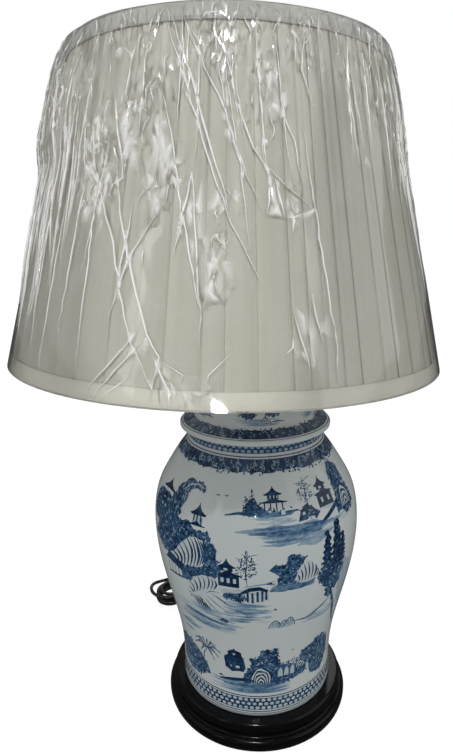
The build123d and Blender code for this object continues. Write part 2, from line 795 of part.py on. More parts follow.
# ---------------------------------------------------------------- finial
finial_foot = hub_seat + hub_thickness + seat_gap
with BuildPart() as finial:
    with BuildSketch(section_plane):
        with BuildLine():
            ball = finial_foot + finial_height - finial_ball_radius
            skirt = (8, finial_foot)
            throat = (4.6, finial_foot + 6.5)
            ball_foot = (5.2, ball - sqrt(finial_ball_radius**2 - 5.2**2))
            Polyline((0, finial_foot), skirt, (8, finial_foot + 1.6))
            ThreePointArc((8, finial_foot + 1.6), (5.4, finial_foot + 3.2), throat)
            Line(throat, ball_foot)
            ThreePointArc(ball_foot, (finial_ball_radius, ball), (0, ball + finial_ball_radius))
            Line((0, ball + finial_ball_radius), (0, finial_foot))
        make_face()
    revolve(axis=shade_axis)
    with BuildSketch(shade_plane.offset(finial_foot)):
        Circle(stud_radius + fit_gap)
    extrude(amount=stud_length - hub_thickness + 0.5, mode=Mode.SUBTRACT)
finial.part.label = "finial"
export_step(finial.part, "parts/finial.step")

# ---------------------------------------------------------------- cord inside the lamp
with BuildPart() as strain_relief:
    with BuildSketch(outlet_plane.offset(-relief_plug_length)):
        Circle(relief_radius)
    extrude(amount=relief_plug_length)
    with BuildSketch(outlet_plane):
        Circle(relief_flange[0])
    extrude(amount=relief_flange[1])
    with BuildSketch(outlet_plane.offset(relief_flange[1])):
        Circle(relief_radius)
    with BuildSketch(outlet_plane.offset(relief_length)):
        Circle(cord_radius + relief_tip_wall)
    loft()
    with BuildSketch(outlet_plane.offset(-relief_plug_length - 1)):
        Circle(cord_radius)
    extrude(amount=relief_length + relief_plug_length + 2, mode=Mode.SUBTRACT)
strain_relief.part.label = "strain_relief"
export_step(strain_relief.part, "parts/strain_relief.step")

relief_tip = outlet_plane.origin + outlet_way * relief_length
cord_sides = 8
with BuildPart() as cord_inner:
    with BuildLine() as inner_line:
        corner = Vector(0, 0, cord_height)
        FilletPolyline(relief_tip, corner, Vector(0, 0, socket_body_foot), radius=pipe_foot - cord_height + 1)
    with BuildSketch(Plane(origin=relief_tip, z_dir=-outlet_way)):
        Circle(cord_radius)
    sweep(path=inner_line.wires()[0])
cord_inner.part.label = "cord_inner"
export_step(cord_inner.part, "parts/cord_inner.step")

# ---------------------------------------------------------------- hank
hank_plane = Plane(
    origin=(*hank_centre, 0),
    x_dir=(cos(radians(hank_way)), sin(radians(hank_way)), 0),
    z_dir=(0, 0, 1),
)
first_layer = tie_thickness + tie_gap + cord_radius + 0.05
ahead = hank_plane.x_dir
aside = hank_plane.y_dir


def in_hank(along, across, height):
    """A place in the hank: along its length, across it, and above the table."""
    return hank_plane.from_local_coords(Vector(along, across, height))


def hank_stops():
    """Places and directions down the hank's cord, from the plug to the lamp: 4 layers of 3 runs each.

    The loops spiral in and out again by half a step in each run, and the third run of a layer climbs.
    """
    spiral = [2, 1, 0, 1, 2, 3]
    stops = []
    for run in range(hank_runs):
        side = 1 if run % 2 == 0 else -1
        way = -1 if run % 2 == 0 else 1
        turn = spiral[run % 6]
        low = first_layer + layer_step * (run // 3)
        high = low + (layer_step if run % 3 == 2 and run < hank_runs - 1 else 0)
        fold = fold_radius + fold_step * turn / 2
        waist = waist_half + waist_step * turn / 2
        loose = loose_loop if run == hank_runs - 2 else 0
        stops.append((in_hank(-way * hank_run / 2, side * fold, low), ahead * way))
        stops.append((in_hank(0, side * waist, (low + high) / 2), ahead * way))
        stops.append((in_hank(way * hank_run / 2, side * (fold + loose), high), ahead * way))
        if run < hank_runs - 1:
            next_fold = fold_radius + fold_step * spiral[(run + 1) % 6] / 2
            bulge = (fold + next_fold) / 2 + loose * 0.4
            middle = side * (fold + loose - next_fold) / 2
            stops.append((in_hank(way * (hank_run / 2 + bulge), middle, high), aside * -side))
    return stops


stops = hank_stops()
plug_foot = hank_run / 2 + plug_tail + 2 * cord_radius
plug_across = fold_radius + fold_step + plug_aside
tail = (in_hank(plug_foot, plug_across, plug_axis), -ahead)
tail_end = (in_hank(plug_foot - 2 * cord_radius, plug_across, plug_axis), -ahead)
lead_in = (stops[-1][0] + ahead * 2 * cord_radius, ahead)

with BuildPart() as cord_hank:
    with BuildLine() as hank_line:
        Line(tail[0], tail_end[0])
        for (start, start_way), (end, end_way) in zip([tail_end] + stops[:-1], stops):
            biarc(start, start_way, end, end_way)
        Line(stops[-1][0], lead_in[0])
    with BuildSketch(Plane(origin=tail[0], z_dir=-ahead)):
        RegularPolygon(cord_radius, cord_sides)
    sweep(path=hank_line.wires()[0])
cord_hank.part.label = "cord_hank"
export_step(cord_hank.part, "parts/cord_hank.step")

hank_wire = hank_line.wires()[0]
hank_length = hank_wire.length
section_area = cord_sides / 2 * cord_radius**2 * sin(2 * pi / cord_sides)
samples = [hank_wire.position_at(i / 900) for i in range(901)]
apart = int(3 * cord_radius * 2 / (hank_length / 900)) + 1
least_gap = min(
    (samples[i] - samples[j]).length for i in range(901) for j in range(i + apart, 901)
) - 2 * cord_radius
print(f"hank: {hank_length:.0f} mm of cord, least gap to itself {least_gap:.2f} mm, "
      f"volume {cord_hank.part.volume:.0f} against {section_area * hank_length:.0f}")

waist_high = first_layer + 3 * layer_step + cord_radius
waist_left = waist_half + waist_step + cord_radius
waist_right = waist_half + waist_step * 1.5 + cord_radius
tie_inner = (waist_left + waist_right + 2 * tie_gap, waist_high - first_layer + cord_radius + 2 * tie_gap)
tie_centre = in_hank(-tie_width / 2, (waist_left - waist_right) / 2, tie_thickness + tie_inner[1] / 2)
with BuildPart() as cord_tie:
    with BuildSketch(Plane(origin=tie_centre, x_dir=aside, z_dir=ahead)):
        RectangleRounded(tie_inner[0] + 2 * tie_thickness, tie_inner[1] + 2 * tie_thickness, 3)
        RectangleRounded(*tie_inner, 2, mode=Mode.SUBTRACT)
    extrude(amount=tie_width)
cord_tie.part.label = "cord_tie"
export_step(cord_tie.part, "parts/cord_tie.step")

# ---------------------------------------------------------------- plug
plug_plane = Plane(origin=tail[0], x_dir=aside, z_dir=ahead)
with BuildPart() as plug_body:
    with BuildSketch(plug_plane):
        RectangleRounded(plug_size[1] * 0.42, plug_size[2] * 0.8, 2.5)
    with BuildSketch(plug_plane.offset(plug_size[0] * 0.45)):
        RectangleRounded(plug_size[1] * 0.85, plug_size[2] * 0.9, 4)
    loft()
    with BuildSketch(plug_plane.offset(plug_size[0] * 0.45)):
        RectangleRounded(plug_size[1], plug_size[2], 4)
    extrude(amount=plug_size[0] * 0.55)
plug_body.part.label = "plug_body"
export_step(plug_body.part, "parts/plug_body.step")

with BuildPart() as plug_blades:
    for side, width in ((-1, blade_size[2]), (1, blade_size[2] + 1.6)):
        with BuildSketch(plug_plane.offset(plug_size[0])):
            with Locations((side * blade_spacing / 2, 0)):
                Rectangle(blade_size[1], width)
        extrude(amount=blade_size[0])
    blade_hole = in_hank(plug_foot + plug_size[0] + blade_size[0] - 4, plug_across, plug_axis)
    with BuildSketch(Plane(origin=blade_hole, x_dir=ahead, z_dir=aside)):
        Circle(blade_hole_radius)
    extrude(amount=plug_size[1], both=True, mode=Mode.SUBTRACT)
plug_blades.part.label = "plug_blades"
export_step(plug_blades.part, "parts/plug_blades.step")

# ---------------------------------------------------------------- free cord, from the outlet to the hank
last_height = lead_in[0].Z
cord_route = [
    relief_tip,
    relief_tip + outlet_way * 20,
    Vector(29.5, 161, 3.6),
    Vector(35, 184, 2.4),
    Vector(34, 207, 2.4),
    Vector(24, 227, 3.2),
    Vector(7, 240, 7.5),
    Vector(-13, 240, 14),
    lead_in[0] + ahead * 14,
    lead_in[0],
]


def bend_radii(route):
    """The largest arc at each corner: 0.45 of the shorter run, over the tangent of half the turn."""
    radii = []
    for before, corner, after in zip(route, route[1:], route[2:]):
        turn = radians((corner - before).get_angle(after - corner))
        radii.append(0.45 * min((corner - before).length, (after - corner).length) / tan(turn / 2))
    return radii


cord_bends = bend_radii(cord_route)
with BuildPart() as cord_free:
    with BuildLine() as free_line:
        FilletPolyline(*cord_route, radius=cord_bends)
    with BuildSketch(Plane(origin=cord_route[0], z_dir=cord_route[1] - cord_route[0])):
        Circle(cord_radius)
    sweep(path=free_line.wires()[0])
cord_free.part.label = "cord_free"
export_step(cord_free.part, "parts/cord_free.step")
free_length = free_line.wires()[0].length
print("free cord: bends of", ", ".join(f"{radius:.0f}" for radius in cord_bends), "mm radius;",
      f"{free_length:.0f} mm long, volume {cord_free.part.volume:.0f}",
      f"against {pi * cord_radius**2 * free_length:.0f}")
print(f"cord outside the lamp: {free_length + hank_length:.0f} mm; harp {harp_height:.0f} mm, "
      f"leaning {degrees(harp_lean):.1f} degrees")
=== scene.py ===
# %% [markdown]
# # A ginger jar lamp, seen from its parts
#
# The lamp is a painted porcelain jar on a lacquered plinth, under a pleated silk shade that is still
# in its clear wrapping. The construction model gives every rigid piece at its real size. This notebook
# gives the looks: the glaze and its cobalt painting, the silk and its pleats, the crumpled film, the cord.
# Lengths are in metres, and the jar stands on the origin with its front towards -Y.

# %% Load the construction model
import json
import math
import random

import bmesh
import bpy
import numpy as np
from mathutils import Matrix, Vector, noise
from mathutils.geometry import delaunay_2d_cdt


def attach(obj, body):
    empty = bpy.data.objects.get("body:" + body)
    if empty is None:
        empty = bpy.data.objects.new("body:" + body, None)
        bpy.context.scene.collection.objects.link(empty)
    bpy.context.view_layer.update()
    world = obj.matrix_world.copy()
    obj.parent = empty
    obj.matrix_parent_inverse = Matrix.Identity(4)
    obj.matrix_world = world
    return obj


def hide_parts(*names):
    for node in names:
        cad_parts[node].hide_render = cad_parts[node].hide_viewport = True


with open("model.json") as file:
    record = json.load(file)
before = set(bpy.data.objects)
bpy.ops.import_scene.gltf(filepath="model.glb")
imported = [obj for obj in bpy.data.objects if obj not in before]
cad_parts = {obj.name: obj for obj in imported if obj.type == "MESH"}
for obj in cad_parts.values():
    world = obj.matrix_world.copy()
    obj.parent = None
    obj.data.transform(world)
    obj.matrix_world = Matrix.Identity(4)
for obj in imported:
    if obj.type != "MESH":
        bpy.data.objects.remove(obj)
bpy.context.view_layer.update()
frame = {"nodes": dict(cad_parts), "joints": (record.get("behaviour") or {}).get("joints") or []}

MM = 0.001
nodes = frame["nodes"]

# %% [markdown]
# ## The camera
#
# The photograph was taken from a little above the lamp and close to it, which makes the shade's rim an
# ellipse and the jar taper downwards. A camera has a place, a way that it looks and a lens. Here the
# place is a point in front, it looks down by a pitch angle, and the lens is written as the focal length
# in pixels of a 453 by 756 picture, turned into millimetres on Blender's 36 mm sensor, whose long side
# goes with the picture's long side.

# %% Place the camera
PICTURE_WIDTH, PICTURE_HEIGHT = 453, 756
FOCAL_PIXELS = 573.78
PITCH_DOWN = math.radians(13.7876)
ROLL = math.radians(-1.0438)
LENS_PLACE = Vector((-0.0283, -0.564, 0.5))

camera_data = bpy.data.cameras.new("camera")
camera = bpy.data.objects.new("camera", camera_data)
bpy.context.scene.collection.objects.link(camera)
camera_data.sensor_width = 36
camera_data.lens = camera_data.sensor_width * FOCAL_PIXELS / PICTURE_HEIGHT
camera_data.clip_start = 0.02
camera.matrix_world = (
    Matrix.Translation(LENS_PLACE)
    @ Matrix.Rotation(math.pi / 2 - PITCH_DOWN, 4, "X")
    @ Matrix.Rotation(ROLL, 4, "Z")
)
bpy.context.scene.camera = camera
print("lens", round(camera_data.lens, 2), "mm")

# %% [markdown]
# ## Helpers for materials
#
# A finish on a real thing is never one flat colour: glaze pools, lacquer picks up dust, brass dulls. So
# each material starts from Blender's Principled shader and gets nodes that vary its colour, roughness
# and relief. Writing a node tree by hand takes many lines, so one small class keeps the tree and adds a
# node with its inputs in one call. Patterns read Object coordinates, which stay still on each piece.

# %% The finish helper
class Finish:
    """A material under construction: its tree, and short ways to add nodes."""

    def __init__(self, name, colour=(0.5, 0.5, 0.5), roughness=0.5, metallic=0.0, **plain):
        self.material = bpy.data.materials.new(name)
        self.material.use_nodes = True
        self.tree = self.material.node_tree
        self.shader = self.tree.nodes["Principled BSDF"]
        self.wire(Base_Color=colour, Roughness=roughness, Metallic=metallic, **plain)

    def feed(self, socket, value):
        """Joins an output to a socket, or sets the socket to a number, vector or colour."""
        if isinstance(value, bpy.types.NodeSocket):
            self.tree.links.new(value, socket)
        else:
            socket.default_value = (*value, 1) if socket.type == "RGBA" else value

    def wire(self, **sockets):
        """Feeds the shader's own sockets, by name."""
        for name, value in sockets.items():
            self.feed(self.shader.inputs[name.replace("_", " ")], value)
        return self

    def show(self, surface):
        """Shows another shader in place of the Principled one."""
        self.feed(self.tree.nodes["Material Output"].inputs["Surface"], surface)

    def node(self, kind, inputs=None, **settings):
        made = self.tree.nodes.new("ShaderNode" + kind)
        for name, value in settings.items():
            setattr(made, name, value)
        for name, value in (inputs or {}).items():
            self.feed(made.inputs[name], value)
        return made

    def place(self):
        """Object coordinates."""
        return self.node("TexCoord").outputs["Object"]

    def stretched(self, scale):
        """Object coordinates, scaled by different amounts along X, Y and Z."""
        return self.node("Mapping", {"Vector": self.place(), "Scale": scale}).outputs[0]

    def noise(self, scale, detail=3.0, rough=0.5, where=None):
        inputs = {"Vector": where or self.place(), "Scale": scale, "Detail": detail, "Roughness": rough}
        return self.node("TexNoise", inputs).outputs["Fac"]

    def carried(self, name):
        """A number that the mesh carries at its points or faces."""
        return self.node("Attribute", attribute_name=name).outputs["Fac"]

    def maths(self, operation, a, b, clamp=False):
        return self.node("Math", {0: a, 1: b}, operation=operation, use_clamp=clamp).outputs[0]

    def between(self, value, low, high, to_low=0.0, to_high=1.0):
        inputs = {"Value": value, "From Min": low, "From Max": high, "To Min": to_low, "To Max": to_high}
        return self.node("MapRange", inputs).outputs[0]

    def mix(self, share, a, b, blend="MIX"):
        made = self.node("Mix", data_type="RGBA", blend_type=blend)
        for socket, value in zip((made.inputs[0], made.inputs[6], made.inputs[7]), (share, a, b)):
            self.feed(socket, value)
        return made.outputs[2]

    def ramp(self, value, *stops):
        """A colour ramp from (place, colour) stops."""
        made = self.node("ValToRGB", {"Fac": value})
        band = made.color_ramp
        while len(band.elements) < len(stops):
            band.elements.new(1.0)
        for element, (where, colour) in zip(band.elements, stops):
            element.position = where
            element.color = (*colour, 1)
        return made.outputs["Color"]

    def bump(self, height, strength, distance):
        inputs = {"Height": height, "Strength": strength, "Distance": distance}
        return self.node("Bump", inputs).outputs["Normal"]


def wear(finish, *pieces):
    """Gives some pieces one finish all over."""
    for piece in pieces:
        piece.data.materials.clear()
        piece.data.materials.append(finish.material)


print("finishes start from", Finish("bare").shader.name)
bpy.data.materials.remove(bpy.data.materials["bare"])

# %% [markdown]
# ## The rigid pieces' finishes
#
# The construction model's own meshes already have the right shape, so each keeps its mesh and gets a
# finish. The plinth is wood under several coats of black lacquer: very smooth, with a faint waviness
# from the wood and a little dust on what faces up. The socket and the harp are thin brass plate, which
# tarnishes unevenly, so noise moves both its colour and its roughness. A dictionary then says which
# pieces take which finish.

# %% Lacquer, felt and brass
def black_lacquer():
    finish = Finish("black_lacquer", roughness=0.16, Specular_IOR_Level=0.22)
    dust = finish.between(finish.noise(90, 6, 0.65), 0.52, 0.78)
    up = finish.node("SeparateXYZ", {"Vector": finish.node("NewGeometry").outputs["Normal"]}).outputs["Z"]
    dusty = finish.maths("MULTIPLY", dust, finish.between(up, 0.2, 1.0))
    colour = finish.mix(finish.maths("MULTIPLY", dusty, 0.35), (0.0016, 0.0016, 0.002), (0.011, 0.0106, 0.01))
    rough = finish.between(dusty, 0.0, 1.0, 0.15, 0.36)
    waves = finish.noise(1.0, 4, 0.5, finish.stretched((26, 26, 150)))
    relief = finish.bump(waves, 0.22, 0.0012)
    return finish.wire(Base_Color=colour, Roughness=rough, Normal=relief)


def felt():
    finish = Finish("felt", roughness=0.95, Sheen_Weight=0.5)
    fibres = finish.noise(1800, 4, 0.7)
    colour = finish.ramp(fibres, (0.3, (0.008, 0.02, 0.012)), (0.8, (0.03, 0.065, 0.04)))
    return finish.wire(Base_Color=colour, Normal=finish.bump(fibres, 0.8, 0.0006))


def brass(name, pale, dull, roughness):
    finish = Finish(name, roughness=roughness, metallic=1.0)
    tarnish = finish.noise(70, 6, 0.6)
    colour = finish.ramp(tarnish, (0.35, pale), (0.75, dull))
    rough = finish.between(tarnish, 0.3, 0.8, roughness, roughness + 0.2)
    lines = finish.noise(1.0, 2, 0.5, finish.stretched((60, 60, 2600)))
    return finish.wire(Base_Color=colour, Roughness=rough, Normal=finish.bump(lines, 0.12, 0.0002))


def plated_steel(name, colour, roughness):
    finish = Finish(name, roughness=roughness, metallic=1.0)
    stain = finish.noise(160, 5, 0.6)
    tone = finish.ramp(stain, (0.3, colour), (0.8, tuple(c * 0.62 for c in colour)))
    return finish.wire(Base_Color=tone, Roughness=finish.between(stain, 0.3, 0.8, roughness, roughness + 0.25))


def moulded_plastic(name, colour, roughness=0.35):
    finish = Finish(name, roughness=roughness)
    grain = finish.noise(900, 3, 0.6)
    tone = finish.ramp(grain, (0.35, colour), (0.75, tuple(min(1, c * 1.5 + 0.004) for c in colour)))
    relief = finish.bump(grain, 0.15, 0.0003)
    return finish.wire(Base_Color=tone, Roughness=finish.between(grain, 0.3, 0.7, roughness, roughness + 0.12),
                       Normal=relief)


def liner_card():
    finish = Finish("liner_card", roughness=0.8)
    fibres = finish.noise(1.0, 4, 0.65, finish.stretched((300, 300, 90)))
    colour = finish.ramp(fibres, (0.3, (0.33, 0.24, 0.14)), (0.75, (0.5, 0.38, 0.24)))
    return finish.wire(Base_Color=colour, Normal=finish.bump(fibres, 0.3, 0.0003))


print("makers of finishes:", black_lacquer.__name__, felt.__name__, brass.__name__, plated_steel.__name__)

# %% Say which piece wears what
rigid_finishes = {
    "base_plinth": black_lacquer(),
    "base_felt": felt(),
    "base_washer": plated_steel("washer_zinc", (0.62, 0.62, 0.6), 0.35),
    "base_nut": plated_steel("nut_zinc", (0.6, 0.6, 0.57), 0.3),
    "lamp_pipe": plated_steel("pipe_zinc", (0.55, 0.56, 0.55), 0.35),
    "vase_cap": brass("spun_brass", (0.75, 0.52, 0.2), (0.5, 0.34, 0.13), 0.16),
    "harp": brass("harp_brass", (0.7, 0.5, 0.2), (0.46, 0.32, 0.13), 0.2),
    "socket_cap": brass("socket_brass", (0.78, 0.55, 0.22), (0.55, 0.37, 0.15), 0.22),
    "switch_knob": moulded_plastic("black_bakelite", (0.012, 0.012, 0.013), 0.2),
    "pipe_bushing": moulded_plastic("black_bushing", (0.015, 0.015, 0.015), 0.4),
    "socket_liner": liner_card(),
    "socket_body": moulded_plastic("phenolic", (0.02, 0.014, 0.012), 0.3),
    "screw_shell": plated_steel("shell_aluminium", (0.8, 0.8, 0.8), 0.28),
    "bottom_ring": moulded_plastic("white_coated_wire", (0.62, 0.61, 0.58), 0.4),
    "strain_relief": moulded_plastic("black_rubber", (0.012, 0.012, 0.012), 0.5),
    "cord_tie": moulded_plastic("tie_plastic", (0.012, 0.012, 0.012), 0.45),
    "plug_blades": brass("blade_brass", (0.74, 0.54, 0.24), (0.52, 0.38, 0.18), 0.2),
}
same_finish = {
    "vase_cap": ["brass_neck", "finial"],
    "harp": ["harp_stud", "harp_sleeve_front", "harp_sleeve_back"],
    "lamp_pipe": ["saddle_nut", "harp_saddle"],
    "socket_cap": ["socket_shell", "terminal_screws", "set_screw", "centre_contact", "switch_shaft"],
    "bottom_ring": ["top_ring", "spider"],
    "strain_relief": ["plug_body", "cord_inner"],
}
for first, finish in rigid_finishes.items():
    wear(finish, *(nodes[name] for name in [first, *same_finish.get(first, [])]))
print("rigid finishes", len(rigid_finishes))

# %% [markdown]
# ## The cord
#
# A cord keeps one length however it lies. This one leaves the plinth at the back through a rubber
# sleeve, comes down to the table, and the rest is folded as it was packed: a hank of twelve runs, tied
# at its waist. One smooth NURBS line carries the whole cord. Its control points are the bends on the
# free stretch, given one by one, and a rule gives those of the hank: in each run four points draw
# the cord in to the waist, and four more round off each fold like the corners of half an octagon.

# %% Lay out the hank
CORD_RADIUS = 2.25 * MM
HANK_CENTRE = Vector((-87, 187, 0)) * MM
HANK_WAY = math.radians(50.1)
HANK_RUN = 80 * MM
HANK_RUNS = 12
LAYER_STEP = 5.0 * MM
FIRST_LAYER = 3.6 * MM
FOLD_RADIUS, FOLD_STEP = 13.0 * MM, 5.6 * MM
WAIST_HALF, WAIST_STEP = 4.0 * MM, 5.5 * MM
LOOSE_LOOP = 10 * MM
PLUG_FOOT, PLUG_ACROSS, PLUG_AXIS = 66.5 * MM, 25.6 * MM, 6.5 * MM
hank_ahead = Vector((math.cos(HANK_WAY), math.sin(HANK_WAY), 0))
hank_aside = Vector((-math.sin(HANK_WAY), math.cos(HANK_WAY), 0))


def in_hank(along, across, height):
    """A place in the hank: along its length, across it, and above the table."""
    return HANK_CENTRE + hank_ahead * along + hank_aside * across + Vector((0, 0, height))


def hank_points():
    """Control points down the hank, from the plug to the lamp."""
    spiral = [2, 1, 0, 1, 2, 3]
    half_run = HANK_RUN / 2
    points = [in_hank(PLUG_FOOT, PLUG_ACROSS, PLUG_AXIS), in_hank(PLUG_FOOT - 9 * MM, PLUG_ACROSS, PLUG_AXIS)]
    for run in range(HANK_RUNS):
        side, way = (1, -1) if run % 2 == 0 else (-1, 1)
        turn = spiral[run % 6]
        low = FIRST_LAYER + LAYER_STEP * (run // 3)
        high = low + (LAYER_STEP if run % 3 == 2 and run < HANK_RUNS - 1 else 0)
        fold = FOLD_RADIUS + FOLD_STEP * turn / 2
        waist = WAIST_HALF + WAIST_STEP * turn / 2
        loose = LOOSE_LOOP if run == HANK_RUNS - 2 else 0
        for along, across, climb in ((-0.75, fold, 0), (-0.25, waist, 0.25), (0.25, waist, 0.75), (0.75, fold, 1)):
            points.append(in_hank(way * along * half_run, side * across, low + (high - low) * climb))
        if run < HANK_RUNS - 1:
            next_fold = FOLD_RADIUS + FOLD_STEP * spiral[(run + 1) % 6] / 2
            bend = (fold + loose + next_fold) / 2
            middle = side * (fold + loose - next_fold) / 2
            for out, across in ((0.41, 1), (1, 0.41), (1, -0.41), (0.41, -1)):
                points.append(in_hank(way * (half_run + out * bend), middle + side * across * bend, high))
    return points


free_points = [
    Vector(point) * MM
    for point in (
        (20.99, 119.06, 7.0), (24.47, 138.76, 7.0), (29.5, 161, 3.6), (35, 184, 2.4), (34, 207, 2.4),
        (24, 227, 3.2), (7, 240, 7.5), (-13, 240, 14),
    )
]
print("control points", len(free_points), "free and", len(hank_points()), "in the hank")

# %% Draw the cord
def smooth_line(name, points, radius=0.0):
    """A curve object whose one NURBS spline takes the points as its control points."""
    data = bpy.data.curves.new(name, "CURVE")
    data.dimensions = "3D"
    spline = data.splines.new("NURBS")
    spline.points.add(len(points) - 1)
    for control, point in zip(spline.points, points):
        control.co = (*point, 1)
    spline.order_u = 3
    spline.use_endpoint_u = True
    spline.resolution_u = 8
    data.bevel_depth = radius
    data.bevel_resolution = 4
    data.use_fill_caps = True
    line = bpy.data.objects.new(name, data)
    bpy.context.scene.collection.objects.link(line)
    return line


def line_length(points):
    """Length of the smooth line through the points' NURBS spline."""
    probe = smooth_line("probe", points)
    mesh = bpy.data.meshes.new_from_object(probe)
    places = [v.co.copy() for v in mesh.vertices]
    bpy.data.meshes.remove(mesh)
    bpy.data.objects.remove(probe)
    return sum((b - a).length for a, b in zip(places, places[1:]))


cord_points = free_points + hank_points()[::-1]
cord_length = line_length(cord_points)
cord = smooth_line("cord", cord_points, CORD_RADIUS)
print("cord", round(cord_length, 3), "m")

# %% [markdown]
# The sheath is shiny black vinyl. It has been folded and unfolded, so it shows faint pressure marks,
# and it is never quite round. The tie is the paper-covered wire that new cords come with.

# %% Finish the cord
def cord_vinyl():
    finish = Finish("cord_vinyl", roughness=0.3, Coat_Weight=0.25, Coat_Roughness=0.12)
    marks = finish.noise(260, 4, 0.6)
    colour = finish.ramp(marks, (0.35, (0.008, 0.008, 0.009)), (0.8, (0.026, 0.026, 0.028)))
    return finish.wire(Base_Color=colour, Roughness=finish.between(marks, 0.3, 0.75, 0.24, 0.46),
                       Normal=finish.bump(finish.noise(140, 3, 0.5), 0.3, 0.0008))


wear(cord_vinyl(), cord)
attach(cord, "lamp")
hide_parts("cord_free", "cord_hank")
print("cord wears", cord.data.materials[0].name)

# %% [markdown]
# ## The shade's own frame
#
# The shade sits on a leaning harp, a little off the jar's axis, so everything on it is easiest to place
# in degrees round the shade and heights above its lower edge. One function turns those into a point.
# Its matrix comes from the shade's swivel joint, which already knows the tilted axis.

# %% Places on the shade
SHADE_FOOT = Vector((-30.2, 0, 388.9)) * MM
SHADE_RADIUS = 203 * MM
SHADE_TOP_RADIUS = 138.4 * MM
SHADE_HEIGHT = 262.9 * MM
SHADE_SLOPE = (SHADE_RADIUS - SHADE_TOP_RADIUS) / SHADE_HEIGHT
swivel = next(joint for joint in frame["joints"] if joint["name"] == "shade_swivel")
shade_up = Vector(swivel["axis"]).normalized()
lean = Vector((0, 0, 1)).rotation_difference(shade_up)
shade_frame = Matrix.Translation(SHADE_FOOT) @ lean.to_matrix().to_4x4()


def on_shade(degrees, height, inset=0.0):
    """Degrees from the front towards +X, height up the shade's axis, and distance in from its outside."""
    radius = SHADE_RADIUS - SHADE_SLOPE * height - inset
    turn = math.radians(degrees)
    return shade_frame @ Vector((radius * math.sin(turn), -radius * math.cos(turn), height))


def new_piece(name, form, body):
    """Makes an object of a bmesh, frees it, and says what it rides on and which finish it takes."""
    mesh = bpy.data.meshes.new(name)
    form.to_mesh(mesh)
    form.free()
    piece = bpy.data.objects.new(name, mesh)
    bpy.context.scene.collection.objects.link(piece)
    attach(piece, body)
    return piece


def new_rim(form, edges):
    """Extrudes a line of edges, and gives its new points and its new edges."""
    grown = bmesh.ops.extrude_edge_only(form, edges=edges)["geom"]
    points = [part for part in grown if isinstance(part, bmesh.types.BMVert)]
    fresh = set(points)
    edges = [part for part in grown if isinstance(part, bmesh.types.BMEdge)]
    return points, [edge for edge in edges if fresh.issuperset(edge.verts)]


def solid_sheet(piece, thickness):
    """Gives a cloth its thickness, inwards, with a live modifier."""
    wall = piece.modifiers.new("thickness", "SOLIDIFY")
    wall.thickness = thickness
    wall.offset = -1


def smooth(piece, sharp_over):
    """Smooth shading, except across edges that turn more than the given degrees."""
    piece.data.shade_smooth()
    piece.data.set_sharp_from_angle(angle=math.radians(sharp_over))


print("the shade leans", round(math.degrees(shade_up.angle((0, 0, 1))), 2), "degrees")

# %% [markdown]
# ## The pleated silk
#
# A maker pins about sixty knife pleats round the wire rings. Each lies nearly flat and then tucks under
# the folded edge of its neighbour, and no two are quite as wide. Towards the top, where there is less
# room, the cloth gathers into fine extra folds that open out on the way down. It could be simulated, but
# pleats are set by hand, so their section is drawn by a rule: a circle with a dozen points to a pleat,
# extruded upwards, whose points then move in by the depth of the fold. Each point also carries a number
# of painted shade, high in the tucks, the gathers and a line along each folded edge, so that the
# material darkens the cloth there with painted shade.

# %% Say how the silk is pleated
PLEATS = 60
FABRIC_INSET = 1.6 * MM
FABRIC_THICKNESS = 0.4 * MM
FABRIC_ROWS = 20
PLEAT_DEPTH = 1.55 * MM
PLEAT_SHARES = (0.0, 0.03, 0.08, 0.2, 0.34, 0.48, 0.62, 0.74, 0.84, 0.91, 0.955, 0.982)
TUCK_START = 0.74
SHADE_LINE_START = 0.84
random.seed(7)
pleat_widths = [random.choice((0.62, 0.8, 1.0, 1.15, 1.4)) * random.uniform(0.9, 1.1) for _ in range(PLEATS)]
pleat_scale = 360 / sum(pleat_widths)
pleat_starts = [sum(pleat_widths[:i]) * pleat_scale for i in range(PLEATS)]
pleat_depths = [random.uniform(0.7, 1.0) for _ in range(PLEATS)]
pleat_shade_lines = [random.choice((0.1, 0.25, 0.5, 0.85)) for _ in range(PLEATS)]
pleat_leans = [random.uniform(-0.8, 0.8) for _ in range(PLEATS)]


def pleat_column(column):
    """Degrees round the shade, share of the pleat's width, and the pleat, for one column of points."""
    pleat, step = divmod(column, len(PLEAT_SHARES))
    share = PLEAT_SHARES[step]
    return pleat_starts[pleat] + share * pleat_widths[pleat] * pleat_scale, share, pleat


def fold_depth(share, pleat, degrees, height):
    """How far in the cloth lies, from 0 at a folded edge to 1 in the tuck, and how much painted shade it gets."""
    up = height / SHADE_HEIGHT
    panel = 0.3 * share**1.5 * pleat_depths[pleat]
    tuck = max(0.0, (share - TUCK_START) / (1 - TUCK_START)) ** 1.6 * pleat_depths[pleat]
    fine = noise.noise(Vector((degrees * 1.15, up * 1.2, 3.7)))
    gather = max(0.0, fine) * (0.12 + 0.75 * up**1.6)
    depth = min(1.0, panel + 0.75 * tuck + gather)
    # Painted shade: a dark line along each pleat's folded edge, plus the tucks and the gathers.
    line = max(0.0, share - SHADE_LINE_START) * 5.5 * pleat_shade_lines[pleat] * (0.4 + 0.6 * up)
    return depth, min(1.0, 0.15 * share + line + gather * 1.1)


print("pleats from", round(min(pleat_widths), 2), "to", round(max(pleat_widths), 2), "times the usual width")

# %% Fold the silk
def round_ring(verts):
    """The ring's points in order of their angle."""
    return sorted(verts, key=lambda v: math.atan2(v.co.y, v.co.x) % math.tau)


